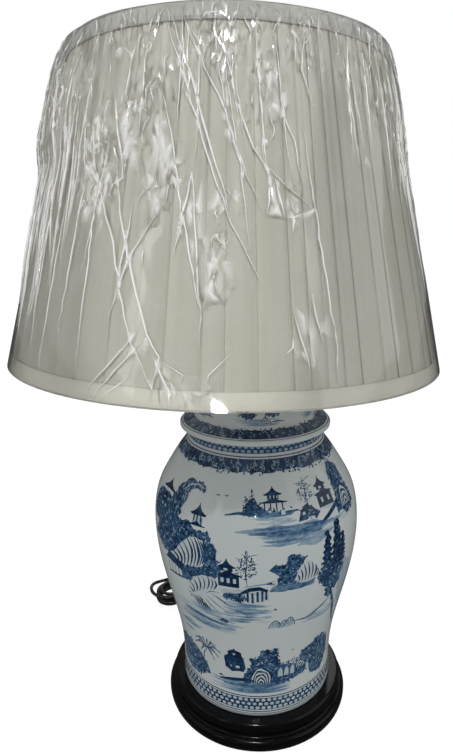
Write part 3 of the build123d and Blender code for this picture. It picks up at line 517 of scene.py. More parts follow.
silk = bmesh.new()
# Each point carries its amount of painted shade in the fold layer.
fold = silk.verts.layers.float.new("fold")
ring = bmesh.ops.create_circle(silk, segments=PLEATS * len(PLEAT_SHARES), radius=1)["verts"]
rows = [round_ring(ring)]
edges = list(silk.edges)
for _ in range(FABRIC_ROWS):
    ring, edges = new_rim(silk, edges)
    rows.append(round_ring(ring))
for row, ring in enumerate(rows):
    height = SHADE_HEIGHT * row / FABRIC_ROWS
    for column, vert in enumerate(ring):
        degrees, share, pleat = pleat_column(column)
        degrees += pleat_leans[pleat] * (row / FABRIC_ROWS - 0.5) * (1 if share else 0.4)
        depth, vert[fold] = fold_depth(share, pleat, degrees, height)
        vert.co = on_shade(degrees, height, FABRIC_INSET + depth * PLEAT_DEPTH)
bmesh.ops.recalc_face_normals(silk, faces=silk.faces)
print("silk", len(silk.verts), "points", len(silk.faces), "faces")
pleated_silk = new_piece("pleated_silk", silk, "shade")
smooth(pleated_silk, 35)
solid_sheet(pleated_silk, FABRIC_THICKNESS)
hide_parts("shade_fabric")

# %% [markdown]
# Silk shades use a slubby cloth: fine threads both ways, with thicker ones that run round the shade. The
# weave is two stretched noises, and the colour is a warm off-white. Painted shade greys it in each fold
# and along each pleat's edge, by the number that each point carries.

# %% Weave the silk
def cloth(name, light, shaded=None, fold_shade_share=0.0):
    """Slubby cloth; where it is folded it goes over to the shaded colour, as painted shade, by the given share."""
    finish = Finish(name, roughness=0.75, Sheen_Weight=0.25, Sheen_Roughness=0.4)
    across = finish.noise(1.0, 3, 0.6, finish.stretched((1500, 1500, 240)))
    along = finish.noise(1.0, 3, 0.6, finish.stretched((170, 170, 2300)))
    weave = finish.maths("ADD", across, finish.maths("MULTIPLY", along, 1.2))
    blotch = finish.noise(9, 4, 0.55)
    colour = finish.mix(finish.between(weave, 0.75, 1.45), light, tuple(c * 0.9 for c in light))
    colour = finish.mix(finish.between(blotch, 0.4, 0.75, 0, 0.35), colour, tuple(c * 0.88 for c in light))
    if fold_shade_share:
        # Painted shade: darker towards the shaded colour where the fold number is high.
        colour = finish.mix(finish.maths("MULTIPLY", finish.carried("fold"), fold_shade_share, True), colour, shaded)
    return finish.wire(Base_Color=colour, Normal=finish.bump(weave, 0.35, 0.00025))


# The second colour is the painted shade of the folds and pleat lines.
wear(cloth("pleated_silk", (0.74, 0.72, 0.63), (0.27, 0.258, 0.226), 0.68), pleated_silk)
wear(cloth("shade_lining", (0.78, 0.77, 0.73)), nodes["shade_lining"])
print("silk and lining woven")

# %% [markdown]
# ## The two trims
#
# Each edge of the shade is bound in a bias-cut band of the same silk, folded over the ring and glued
# inside. Its section is a short run of points, spun round the shade's axis in half-centimetre steps.
# Then noise draws the band in and out a little, as hand-pulled binding does. The upper band is
# coloured greyer than the lower one, as painted shade.

# %% Bind the edges
TRIM_STEPS = 240
TRIM_THICKNESS = 0.8 * MM
PULL_SHARE = 0.0011
EDGE_WANDER = 0.25 * MM


def binding(name, section, node):
    """A band spun from a section of (inset, height) points, with small pulls along it."""
    form = bmesh.new()
    verts = [form.verts.new((SHADE_RADIUS - SHADE_SLOPE * h - inset, 0, h)) for inset, h in section]
    line = [form.edges.new(pair) for pair in zip(verts, verts[1:])]
    bmesh.ops.spin(form, geom=verts + line, cent=(0, 0, 0), axis=(0, 0, 1), dvec=(0, 0, 0),
                   angle=math.tau, steps=TRIM_STEPS, use_merge=True)
    bmesh.ops.recalc_face_normals(form, faces=form.faces)
    for vert in form.verts:
        turn = math.atan2(vert.co.y, vert.co.x)
        pull = noise.noise(Vector((math.cos(turn) * 26, math.sin(turn) * 26, vert.co.z * 60)))
        vert.co *= 1 + PULL_SHARE * pull
        vert.co.z += EDGE_WANDER * noise.noise(Vector((math.cos(turn) * 18, math.sin(turn) * 18, 9)))
    bmesh.ops.transform(form, matrix=shade_frame, verts=form.verts)
    band = new_piece(name, form, "shade")
    smooth(band, 50)
    solid_sheet(band, TRIM_THICKNESS)
    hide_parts(node)
    print(name, len(band.data.polygons), "faces")
    return band


def band_section(edge, inward):
    """Section of a band that starts on the shade's face, rounds its edge and ends inside."""
    steps = (
        (0.95, 12.0), (0.45, 11.4), (0.4, 8.6), (0.55, 4.4), (0.4, 1.4), (0.9, -0.2), (2.4, -0.75), (6.6, -0.6),
    )
    return [(inset * MM, edge + inward * height * MM) for inset, height in steps]


lower_band = binding("trim_band_bottom", band_section(0, 1), "trim_bottom")
upper_band = binding("trim_band_top", band_section(SHADE_HEIGHT, -1), "trim_top")
wear(cloth("trim_silk", (0.86, 0.84, 0.745)), lower_band)
# Painted shade: the upper band is greyer than the lower one.
wear(cloth("trim_silk_painted_shade", (0.6, 0.59, 0.55)), upper_band)

# %% [markdown]
# ## The clear wrapping
#
# The shade is still in the film it was shipped in: one layer of crisp clear plastic drawn round it,
# sealed at the back and turned in at both edges. It shows only by what it mirrors. Each crease is two
# small slopes that catch the lamps, and where the film has been crumpled it breaks into little flat
# facets. Cloth simulation makes soft folds, which is wrong for a film that creases like paper. So the
# skin is drawn flat, as degrees round the shade by millimetres up it: scattered points, closer together
# where the film is crumpled, and creases as narrow strips. A constrained triangulation joins them, with
# heights squeezed so that its facets come out tall and narrow, and every point then moves out by its
# own small amount.

# %% Say where the film is creased
FILM_HEIGHT = 264.2  # mm, from just under the lower band to just over the upper one
FILM_SQUEEZE = 0.42
MM_PER_DEGREE = 2.98  # along the film at the middle of the shade
SEAM_JUMP = 60  # mm of drawing: a longer step has crossed the seam at the back

# Long creases on the front, each a list of (degrees, height in mm) from its upper end.
front_creases = [
    [(-18, 257), (-11, 215), (-3, 152), (1, 122), (7, 86)], [(-16, 257), (-9, 213), (-2, 154), (1, 124)],
    [(-12, 252), (-1, 196), (3, 159), (5, 106)], [(-4, 248), (0, 185), (7, 134)],
    [(-2, 244), (1, 189), (4, 150)], [(7, 252), (8, 202), (9, 160), (10, 145)],
    [(13, 198), (16, 176), (18, 146)], [(21, 250), (19, 223), (22, 199)], [(35, 250), (33, 199), (33, 170)],
    [(41, 250), (40, 174)], [(19, 174), (20, 146), (22, 78), (23, 41), (23, 22)], [(-22, 235), (-22, 181)],
    [(-17, 210), (-13, 174), (-11, 142), (-8, 105), (-5, 65), (-5, 46)], [(-8, 154), (-11, 103)],
    [(-8, 154), (-5, 65)], [(-40, 201), (-38, 162), (-31, 145)], [(2, 200), (6, 170), (10, 153)],
    [(-35, 165), (-26, 108), (-23, 76), (-19, 42), (-14, 13)], [(-16, 126), (-22, 95), (-25, 60)],
    [(-27, 153), (-24, 118), (-20, 84), (-16, 49), (-13, 34), (-14, 11)], [(-22, 126), (-24, 76)],
    [(-28, 10), (-18, 50)], [(-26, 8), (-16, 47)], [(-12, 31), (-8, 24), (-3, 24), (2, 41)],
    [(-14, 32), (-10, 9)], [(-24, 6), (-19, 20)], [(10, 156), (15, 143), (20, 132)], [(10, 153), (9, 127)],
    [(20, 132), (15, 125), (9, 127)], [(11, 150), (13, 126)], [(14, 63), (16, 40), (17, 26)],
    [(18, 76), (19, 58), (20, 44)], [(-30, 205), (-27, 175), (-25, 150)], [(-36, 190), (-34, 150)],
]
# Crumpled places: (degrees, height, half width in degrees, half height in mm, strength).
crumples = [
    (-34, 168, 9, 42, 1.0), (-20, 202, 8, 36, 0.9), (-15, 146, 5, 30, 0.8), (-2, 236, 9, 24, 0.9),
    (9, 214, 6, 42, 0.75), (21, 240, 7, 22, 0.9), (36, 232, 8, 22, 0.7), (-52, 215, 14, 34, 0.85),
    (-68, 178, 10, 60, 0.6), (-7, 118, 4, 18, 0.5), (-2, 92, 5, 28, 0.75), (1, 134, 3, 14, 0.7),
    (13, 138, 5, 14, 0.6), (-8, 16, 6, 11, 0.8), (50, 205, 10, 40, 0.4), (14, 48, 4, 22, 0.35),
]
# Places that stand off the shade, and by how many millimetres.
bellies = [
    (-72, 214, 26, 46, 8.5), (-74, 140, 22, 60, 2.5), (-40, 215, 18, 50, 2.2), (45, 215, 22, 60, 1.6),
    (72, 225, 20, 40, 3.0), (14, 50, 12, 50, 1.0),
]
# Patches painted white, as a painted highlight where the film shines.
painted_highlight_patches = [
    [(6, 174), (10, 156), (20, 132), (15, 125), (10, 127)], [(-9, 135), (-4, 135), (-4, 102), (-8, 102)],
    [(-5, 106), (0, 106), (0, 82), (-1, 61), (-5, 85)], [(-3, 144), (2, 137), (1, 122), (-2, 122)],
    [(-38, 190), (-31, 192), (-29, 150), (-31, 115), (-37, 122)], [(-28, 204), (-24, 204), (-23, 165), (-27, 160)],
    [(-18, 192), (-14, 190), (-12, 150), (-16, 124), (-20, 140)], [(-3, 250), (2, 250), (2, 205), (-1, 195)],
    [(-12, 28), (-8, 26), (-6, 8), (-11, 10)], [(13, 66), (16, 64), (19, 30), (17, 24)],
    [(34, 210), (36, 208), (35, 172), (33, 174)], [(17, 78), (19, 76), (22, 50), (20, 46)],
    [(9, 225), (13, 226), (13, 196), (10, 192)],
]
print("drawn creases", len(front_creases), "and milky patches", len(painted_highlight_patches))

# %% Add creases by habit, where the photograph doesn't show them
def inside(places, x, z):
    """Whether a point lies in an outline."""
    odd = False
    for (x0, z0), (x1, z1) in zip(places, places[1:] + places[:1]):
        if (z0 > z) != (z1 > z) and x < x0 + (x1 - x0) * (z - z0) / (z1 - z0):
            odd = not odd
    return odd


def ease(x):
    """A smooth step from 0 to 1."""
    x = min(1.0, max(0.0, x))
    return x * x * (3 - 2 * x)


def turn_between(a, b):
    """Degrees from a to b, the short way round."""
    return (b - a + 180) % 360 - 180


def patch_strength(patches, degrees, height):
    """The strongest of some soft-edged patches at a place."""
    best = 0.0
    for centre, middle, wide, tall, strength in patches:
        away = math.hypot(turn_between(centre, degrees) / wide, (height - middle) / tall)
        best = max(best, strength * ease(1.6 - 1.1 * away))
    return best


def hanging(start, top, drop, lean, shares):
    """A crease that hangs from a place, leaning over by so many degrees."""
    return [(start + lean * t, max(4, top - drop * t)) for t in shares]


random.seed(21)
for _ in range(26):  # the sides and the back are crumpled too
    middle = random.uniform(62, 300)
    crumples.append((middle, random.uniform(150, 250), random.uniform(4, 12), random.uniform(18, 50),
                     random.uniform(0.35, 0.9)))
back_creases = []
for _ in range(70):
    start, top = random.uniform(52, 312), random.uniform(120, 262)
    drop, lean = random.uniform(40, 150), random.uniform(-7, 7)
    back_creases.append([(d, max(5, h)) for d, h in hanging(start, top, drop, lean, (0, 0.3, 0.62, 1))])
for _ in range(30):  # fine straight pulls down the left
    start, top = random.uniform(-70, -30), random.uniform(140, 255)
    drop, lean = random.uniform(60, 150), random.uniform(-4, 1)
    back_creases.append(hanging(start, top, drop, lean, (0, 0.5, 1)))
for _ in range(46):  # fine pulls that hang from the upper edge, all the way round
    start, top = random.uniform(0, 360), random.uniform(225, 262)
    drop, lean = random.uniform(18, 95), random.uniform(-3, 4)
    back_creases.append(hanging(start, top, drop, lean, (0, 0.45, 1)))
print("creases", len(front_creases) + len(back_creases), "crumpled places", len(crumples))

# %% Scatter points over the flat film
COLUMN_STEP = 2.4
FILM_ROWS = 22
EDGE_GAP = 1.5
film_points, film_data, film_edges = [], [], []


def crumpled(degrees, height):
    """How crumpled the film is at a place, from 0 to 1; both edges are, all the way round."""
    band = 0.65 * ease((height - 232) / 22) + 0.25 * ease((10 - height) / 10)
    return min(1.0, max(patch_strength(crumples, degrees, height), band))


def film_point(degrees, height, out, crease_highlight):
    """Adds a point that will stand out by so many mm and carry so much painted highlight, and gives its number."""
    film_points.append(Vector((degrees * MM_PER_DEGREE, height * FILM_SQUEEZE)))
    film_data.append((out, crease_highlight))
    return len(film_points) - 1


for rim in (0, FILM_HEIGHT):
    line = [film_point(-180 + COLUMN_STEP * i, rim, 0.15, 0) for i in range(int(360 / COLUMN_STEP) + 1)]
    film_edges += zip(line, line[1:])
for side in (-180, 180):
    for row in range(1, FILM_ROWS):
        film_point(side, FILM_HEIGHT * row / FILM_ROWS, 0.2, 0)
for count, where_crumpled in ((2100, False), (30000, True)):
    for _ in range(count):
        degrees, height = random.uniform(-178.5, 178.5), random.uniform(2.5, FILM_HEIGHT - 2.5)
        rough = crumpled(degrees, height)
        left_out = random.random() > rough**1.5 if where_crumpled else rough > 0.75
        if left_out:
            continue
        # Painted highlight: white in the listed patches, and a little on crumpled facets.
        painted_white = 0.6 if any(inside(patch, degrees, height) for patch in painted_highlight_patches) else 0.12 * rough
        film_point(degrees, height, random.random() ** 1.6 * (0.25 + 1.5 * rough), painted_white * random.random())
print("film points", len(film_points))

# %% Lay the creases on it and triangulate
def lay_crease(places, width, rise):
    """A crease: a raised line of points between two low ones, the raised one with a painted highlight."""
    lines = ([], [], [])
    steps = []
    for (d0, h0), (d1, h1) in zip(places, places[1:]):
        parts = max(1, int(abs(h1 - h0) / 9) + 1)
        steps += [(d0 + (d1 - d0) * t / parts, h0 + (h1 - h0) * t / parts) for t in range(parts)]
    steps.append(places[-1])
    for step, (degrees, height) in enumerate(steps):
        share = step / (len(steps) - 1)
        taper = 0.25 + 0.75 * math.sin(math.pi * min(1, share * 0.85 + 0.1))
        wander = noise.noise(Vector((degrees * 0.6, height * 0.09, 5))) * 0.45
        for line, across in zip(lines, (-1, 0, 1)):
            aside = degrees + wander + across * width * taper / MM_PER_DEGREE
            # The raised middle line carries a painted highlight; the two low lines carry none.
            out, crease_highlight = (0.1, 0.0) if across else (rise * taper, 0.9 * taper)
            clear = min(FILM_HEIGHT - EDGE_GAP, max(EDGE_GAP, height))
            line.append(film_point(turn_between(0, aside), clear, out, crease_highlight))
    for line in lines:
        film_edges.extend(
            (a, b) for a, b in zip(line, line[1:]) if abs(film_points[a].x - film_points[b].x) < SEAM_JUMP
        )


for places in front_creases:
    lay_crease(places, random.uniform(0.7, 1.3), random.uniform(0.9, 1.6))
for places in back_creases:
    lay_crease(places, random.uniform(0.5, 1.0), random.uniform(0.6, 1.3))
upper_edge = [(degrees, 250, 9, 10, 0.9) for degrees in range(-175, 180, 12)]
for centre, middle, wide, tall, strength in crumples + upper_edge:
    for _ in range(int(wide * tall * strength * 0.055)):  # short curling breaks where the film is crumpled
        degrees, height = centre + random.gauss(0, 0.5) * wide, middle + random.gauss(0, 0.5) * tall
        length, heading = random.uniform(5, 26), random.gauss(90, 26)
        steps = []
        for _ in range(random.randint(3, 5)):
            steps.append((degrees, min(FILM_HEIGHT - 2, max(2, height))))
            degrees += math.cos(math.radians(heading)) * length / 4 / MM_PER_DEGREE
            height += math.sin(math.radians(heading)) * length / 4
            heading += random.gauss(0, 30)
        lay_crease(steps, random.uniform(0.45, 0.85), random.uniform(0.5, 1.1))
film_flat, _, film_faces, film_ids, _, _ = delaunay_2d_cdt(film_points, film_edges, [], 0, 1e-5, True)
print("film", len(film_flat), "points", len(film_faces), "facets")

# %% Wrap it round the shade
LIP = ((3.5, -0.4), (7.5, 0.1), (7.0, 1.2))  # mm inwards and mm back, for each step of the lip
into_shade = shade_frame.inverted()
film = bmesh.new()
# Each point's painted highlight, from 0 to 1.
highlight_layer = film.verts.layers.float.new("crease_highlight")
film_verts = []
for place, ids in zip(film_flat, film_ids):
    degrees, height = place.x / MM_PER_DEGREE, place.y / FILM_SQUEEZE
    out, crease_highlight = film_data[ids[0]] if ids else (0.5, 0.5)
    out += patch_strength(bellies, degrees, height)
    turn = math.radians(degrees)
    swell = noise.noise(Vector((math.sin(turn) * 4, math.cos(turn) * 4, height / 60)))
    out += 0.7 * max(0.0, swell + 0.2) * ease(min(height, FILM_HEIGHT - height) / 25)
    vert = film.verts.new(on_shade(degrees, (height - 1.2) * MM, -out * MM))
    vert[highlight_layer] = crease_highlight
    film_verts.append(vert)
for face in film_faces:
    film.faces.new([film_verts[i] for i in face])
bmesh.ops.remove_doubles(film, verts=film.verts, dist=0.02 * MM)
bmesh.ops.recalc_face_normals(film, faces=film.faces)
for is_upper, toward in ((False, 1), (True, -1)):
    rim = [edge for edge in film.edges if edge.is_boundary]
    rim = [edge for edge in rim if ((into_shade @ edge.verts[0].co).z > SHADE_HEIGHT / 2) == is_upper]
    for step, (inward, up) in enumerate(LIP):
        fresh, rim = new_rim(film, rim)
        for vert in fresh:
            local = into_shade @ vert.co
            ray = Vector((local.x, local.y, 0)).normalized()
            flutter = noise.noise(Vector((ray.x * 30, ray.y * 30, step))) * (0.3 + 0.5 * step)
            local -= ray * (inward + flutter) * MM
            local.z += toward * (up + abs(flutter) * 0.8) * MM
            vert.co = shade_frame @ local
            # A little painted highlight, at random, on the turned-in lip.
            vert[highlight_layer] = 0.25 * random.random()
bmesh.ops.recalc_face_normals(film, faces=film.faces)
clear_wrap = new_piece("clear_wrap", film, "shade")
smooth(clear_wrap, 7)
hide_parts("shade_film")
print("wrapping", len(clear_wrap.data.polygons), "facets")

# %% [markdown]
# Film mirrors from both of its faces, so its share of reflected light is twice that of one surface of
# plastic. Everywhere else it lets light through, with the slight greyness of a dusty bag. Along a crease,
# on crumpled facets and in the listed patches it is painted white as a painted highlight, which the
# crease highlight number drives.

# %% Finish the film
def clear_film():
    """A clear mirror, painted white along its creases as a painted highlight."""
    finish = Finish("clear_film", (0.97, 0.975, 0.98), 0.25)
    through = finish.node("BsdfTransparent", {"Color": (0.955, 0.96, 0.965)}).outputs[0]
    mirror = finish.node("BsdfGlossy", {"Color": (1, 1, 1), "Roughness": 0.07}).outputs[0]
    twice = finish.maths("MULTIPLY", finish.node("Fresnel", {"IOR": 1.5}).outputs[0], 2.0, True)
    clear = finish.node("MixShader", {0: twice, 1: through, 2: mirror}).outputs[0]
    haze = finish.between(finish.noise(45, 5, 0.65), 0.5, 0.75, 0.0, 0.05)
    # Painted highlight: white where the crease highlight number is high, plus a faint random haze.
    painted_white_and_haze = finish.maths("ADD", finish.maths("MULTIPLY", finish.carried("crease_highlight"), 0.98), haze, True)
    finish.show(finish.node("MixShader", {0: painted_white_and_haze, 1: clear, 2: finish.shader.outputs[0]}).outputs[0])
    return finish


wear(clear_film(), clear_wrap)

# %% [markdown] ## A painter's kit for the jar  The jar carries a blue-and-white river landscape, painted
# in cobalt under the glaze. A picture file would blur and would belong to one unwrapping, so here the
# strokes are geometry. Every brush mark is an outline in the plane of (degrees round the jar, height).
# Later one constrained triangulation cuts the glaze along all the outlines at once, and tells for each
# little facet which strokes cover it. Laying those tones over one another in painting order gives the
# facet its depth of cobalt, from 0 for bare glaze to 1 for the darkest.

# %% The brush and its strokes
GLAZE = 1.75  # mm of glaze to one degree, near the jar's widest
BACK_GAP = 0.4  # degrees at the back that a stroke may miss


class Painting:
    """Strokes as (outline in mm of glaze, tone, cover), in painting order."""

    def __init__(self, seed):
        self.strokes = []
        self.rand = random.Random(seed)
        self.shift, self.flip, self.plenty = 0.0, 1.0, 1.0

    def mm(self, place):
        """A (degrees, height) place in the plane of the glaze, shifted and mirrored as the painting is."""
        return Vector(((self.shift + self.flip * place[0]) * GLAZE, place[1]))

    def lay(self, outline, tone, cover=1.0):
        """Adds a stroke, the right way round, and once more where it crosses the back."""
        twice = sum(a.x * b.y - b.x * a.y for a, b in zip(outline, outline[1:] + outline[:1]))
        for turns in (-1, 0, 1):
            moved = [Vector((p.x + turns * 360 * GLAZE, p.y)) for p in outline]
            xs = [p.x for p in moved]
            if max(xs) > (BACK_GAP - 180) * GLAZE and min(xs) < (180 - BACK_GAP) * GLAZE:
                self.strokes.append((moved if twice > 0 else moved[::-1], tone, cover))

    def area(self, places, tone, cover=1.0, ragged=0.0, step=3.0):
        """A closed patch whose edge wanders by so many mm."""
        corners = [self.mm(place) for place in places]
        outline = []
        for a, b in zip(corners, corners[1:] + corners[:1]):
            parts = max(1, int((b - a).length / step))
            outline += [a.lerp(b, i / parts) for i in range(parts)]
        if ragged:
            outline = [p + Vector((self.rand.gauss(0, ragged), self.rand.gauss(0, ragged))) for p in outline]
        self.lay(outline, tone, cover)

    def line(self, places, width, tone, cover=1.0, blunt=0.25):
        """A brush line, broad in its middle and thin at its ends."""
        path = [self.mm(place) for place in places]
        left, right = [], []
        for i, p in enumerate(path):
            along = (path[min(i + 1, len(path) - 1)] - path[max(i - 1, 0)]).normalized()
            share = i / (len(path) - 1)
            half = width / 2 * (blunt + (1 - blunt) * math.sin(math.pi * min(0.98, max(0.02, share))))
            aside = Vector((-along.y, along.x)) * half
            left.append(p + aside)
            right.append(p - aside)
        self.lay(left + right[::-1], tone, cover)

    def shape(self, place, offsets, tone, cover=1.0):
        """A patch given in mm about a place."""
        centre = self.mm(place)
        self.lay([centre + Vector((x * self.flip, y)) for x, y in offsets], tone, cover)

    def dab(self, place, long, wide, lean, tone, cover=1.0):
        """One touch of the brush, like a leaf."""
        spin = Matrix.Rotation(math.radians(lean), 2)
        leaf = [(-0.5, 0), (-0.15, -0.5), (0.3, -0.4), (0.5, 0), (0.2, 0.45), (-0.25, 0.4)]
        self.shape(place, [spin @ Vector((x * long, y * wide)) for x, y in leaf], tone, cover)

    def dabs(self, places, count, size, tones, lean=(0, 180), slim=0.5, cover=1.0):
        """Leaves strewn in an outline."""
        xs, zs = [p[0] for p in places], [p[1] for p in places]
        left = int(count * self.plenty)
        for _ in range(count * 12):
            x, z = self.rand.uniform(min(xs), max(xs)), self.rand.uniform(min(zs), max(zs))
            if left and inside(places, x, z):
                long = size * self.rand.uniform(0.6, 1.4)
                self.dab((x, z), long, long * slim, self.rand.uniform(*lean), self.rand.choice(tones), cover)
                left -= 1


def along(places, share):
    """The place at a share of the way along a line."""
    spot = share * (len(places) - 1)
    i = min(int(spot), len(places) - 2)
    (x0, z0), (x1, z1) = places[i], places[i + 1]
    return x0 + (x1 - x0) * (spot - i), z0 + (z1 - z0) * (spot - i)


print("one degree is", GLAZE, "mm of glaze")

# %% [markdown]
# The motifs come next. Each takes its place as degrees and height, and sizes in millimetres of glaze or,
# for what is laid out as an outline, in degrees. Foliage is a mass of small leaf touches on a mid-blue
# ground; rocks are left pale and banded with curved strokes, as on every jar of this kind.

# %% Foliage and rocks
def grove(art, places, count, size=3.2, lean=(0, 180), base=0.74):
    """A mass of leaves: a mid-blue ground, dark leaves over it and a few that are left pale."""
    art.area(places, base, 0.95, ragged=1.5)
    art.dabs(places, count, size, (0.95, 1.0, 0.8), lean, 0.45)
    art.dabs(places, count // 2, size * 0.8, (0.12, 0.3, 0.45), lean, 0.34, 0.8)


def striped_rock(art, outline, upper, lower, count, bulge, width):
    """A rock left pale, with curved dark strokes from one line to another."""
    art.area(outline, 0.06, 1.0, ragged=0.35)
    for i in range(count):
        a, b = along(upper, i / (count - 1)), along(lower, i / (count - 1))
        steps = []
        for t in (0, 0.2, 0.4, 0.6, 0.8, 1.0):
            swell = bulge * math.sin(math.pi * t) * art.rand.uniform(0.9, 1.1)
            steps.append((a[0] + (b[0] - a[0]) * t + swell, a[1] + (b[1] - a[1]) * t + abs(swell) * 0.35))
        art.line(steps, width * art.rand.uniform(0.75, 1.25), art.rand.choice((0.85, 0.95, 0.75)))


def arched_rock(art, x, z, width, height, rings):
    """Nested arches, like the layers of a worn boulder."""
    for ring in range(rings * 2):
        k = 1 - ring / (rings * 2)
        arch = []
        for i in range(9):
            turn = math.pi * i / 8
            wobble = 1 + 0.05 * math.sin(5 * turn + ring)
            rise = math.sin(turn) ** 0.8 * height * k * wobble
            arch.append((x - math.cos(turn) * width / 2 * k * wobble, z + rise))
        art.area(arch, 0.9 if ring % 2 == 0 else 0.05, 1.0, step=9)


print("the least leaf is a dab of 6 points")

# %% Buildings
def roof(art, x, z, width, height):
    """A tiled roof with upturned eaves; width and height in mm."""
    half = width / 2
    edge = [(-1.04, 0.16), (-0.86, 0), (0.86, 0), (1.04, 0.16), (0.72, 0.26), (0.34, 0.52), (0.08, 0.9),
            (0.03, 1.12), (-0.03, 1.12), (-0.08, 0.9), (-0.34, 0.52), (-0.72, 0.26)]
    art.shape((x, z), [(a * half, b * height) for a, b in edge], 1.0)


def box(art, x, z, width, height, tone, cover=1.0):
    """An upright rectangle standing on a place; width and height in mm."""
    half = width / 2
    art.shape((x, z), [(-half, 0), (half, 0), (half, height), (-half, height)], tone, cover)


def pavilion(art, x, z, width, height):
    """A two-storey pavilion on four posts; width and height in mm."""
    for i in range(4):
        box(art, x + (i / 3 - 0.5) * width * 0.6 / GLAZE, z, 1.3, height * 0.4, 1.0)
    roof(art, x, z + height * 0.34, width, height * 0.26)
    box(art, x, z + height * 0.5, width * 0.4, height * 0.24, 0.95)
    for aside in (-1.5, 0.6, 2.4):
        box(art, x + aside, z + height * 0.55, 1.1, height * 0.12, 0.12)
    roof(art, x, z + height * 0.68, width * 0.66, height * 0.36)


def house(art, x, z, width, height, windows=3, tone=0.92):
    """A dark house with pale windows, under a roof and an upper storey."""
    box(art, x, z, width * 0.8, height * 0.5, tone)
    for i in range(windows):
        place = x + ((i + 0.5) / windows - 0.5) * width * 0.7 / GLAZE
        box(art, place, z + height * 0.16, width * 0.11, height * 0.17, 0.08)
    roof(art, x, z + height * 0.42, width, height * 0.24)
    box(art, x - width * 0.03, z + height * 0.58, width * 0.46, height * 0.17, tone)
    box(art, x - width * 0.05, z + height * 0.61, width * 0.14, height * 0.08, 0.1)
    roof(art, x - width * 0.03, z + height * 0.7, width * 0.68, height * 0.3)


print("buildings:", roof.__name__, box.__name__, pavilion.__name__, house.__name__)

# %% Trees, water, hills, boats and birds
def lacy_tree(art, x, z, height, spread, count):
    """A thin trunk, a few boughs and scattered leaves."""
    top = [(x + 0.6, z), (x - 0.3, z + height * 0.35), (x + 0.5, z + height * 0.7), (x, z + height)]
    art.line(top, 1.1, 0.85)
    for i in range(5):
        side = -1 if i % 2 else 1
        root = along(top, 0.3 + 0.14 * i)
        bough = [(root[0] + side * spread * 0.3, root[1] + 3), (root[0] + side * spread * 0.48, root[1] + 3.5)]
        art.line([root, *bough], 0.7, 0.8)
    crown = [(x - spread / 2, z + height * 0.4), (x - spread * 0.3, z + height * 0.85), (x, z + height * 1.08),
             (x + spread * 0.32, z + height * 0.8), (x + spread / 2, z + height * 0.45), (x, z + height * 0.22)]
    art.dabs(crown, count, 1.9, (0.6, 0.8, 0.95, 0.7), (0, 180), 0.6)


def cypress(art, x, low, high, width):
    """A tall dark tree of many drooping touches."""
    rim = []
    for i in range(15):
        share = i / 14
        reach = width / 2 * (0.35 + 0.65 * (1 - share)) * (1 if i % 2 else 0.6)
        rim.append((x + reach, low + (high - low) * share))
    rim += [(2 * x - a, b) for a, b in rim[::-1]]
    art.area(rim, 0.95, 1.0, ragged=0.6, step=5)
    art.dabs(rim, int((high - low) * width * 0.2), 3.4, (1.0, 1.0, 0.7), (50, 130), 0.35)
    art.dabs(rim, int((high - low) * width * 0.05), 2.2, (0.25, 0.35), (60, 120), 0.35, 0.7)


def water(art, left, right, low, high, count, tone=0.42, cover=0.5, lean=0.0):
    """Long level strokes of thin cobalt."""
    for _ in range(count):
        a, b = sorted((art.rand.uniform(left, right), art.rand.uniform(left, right)))
        if b - a < (right - left) * 0.25:
            b = min(right, a + (right - left) * 0.4)
        z = art.rand.uniform(low, high)
        rise = lean * (b - a) / (right - left)
        steps = [(a + (b - a) * t / 5, z + rise * t / 5 + art.rand.uniform(-0.5, 0.5)) for t in range(6)]
        art.line(steps, art.rand.uniform(1.2, 3.6), tone * art.rand.uniform(0.8, 1.3), cover, 0.1)


def hills(art, humps, tone=0.5):
    """Low outlined hills with a wash inside: (left, right, foot, top)."""
    for left, right, foot, top in humps:
        arc = [(left + (right - left) * t / 8, foot + (top - foot) * math.sin(math.pi * t / 8) ** 0.8)
               for t in range(9)]
        art.area(arc, tone * 0.45, 0.8, step=9)
        art.line(arc, 1.0, 0.85, 1.0, 0.6)
        for t in (0.3, 0.5, 0.68):
            a = along(arc, t)
            art.line([a, (a[0] + 0.4, (a[1] + foot) / 2 + 1), (a[0] - 0.3, foot + 1)], 1.3, tone, 0.8)


def boat(art, x, z, long):
    """A small boat with a hooped roof."""
    art.shape((x, z), [(-long / 2, 1.1), (-long * 0.3, 0), (long * 0.3, 0), (long / 2, 1.3), (long * 0.2, 0.9)], 1.0)
    art.shape((x, z), [(-long * 0.2, 1), (long * 0.15, 1), (long * 0.1, 2.6), (-long * 0.12, 2.6)], 0.85)


def bird(art, x, z):
    """A bird far off: two bent wings."""
    wings = [(-4 / 3, 0.6), (-0.5, 0.9), (0, 0), (0.5, 1.0), (4 / 3, 0.5)]
    art.line([(x + aside, z + up) for aside, up in wings], 1.0, 0.9)


print("motifs ready:", lacy_tree.__name__, cypress.__name__, water.__name__, hills.__name__, boat.__name__)

# %% [markdown]
# ## The landscape
#
# The front is set out after the photograph: a wooded cliff with striped rocks on the left, a pavilion on
# a far shore, a bridge to an island in the middle, tall cypresses on the right, and a last shore with a
# tower round the foot. It is drawn by rule from the motifs, in places read off the photograph. The back
# doesn't show there, so it repeats the same scene, mirrored, with blank sky between. Each of the next
# four cells holds one part of the scene, as calls in painting order: a later stroke lies over an earlier
# one.

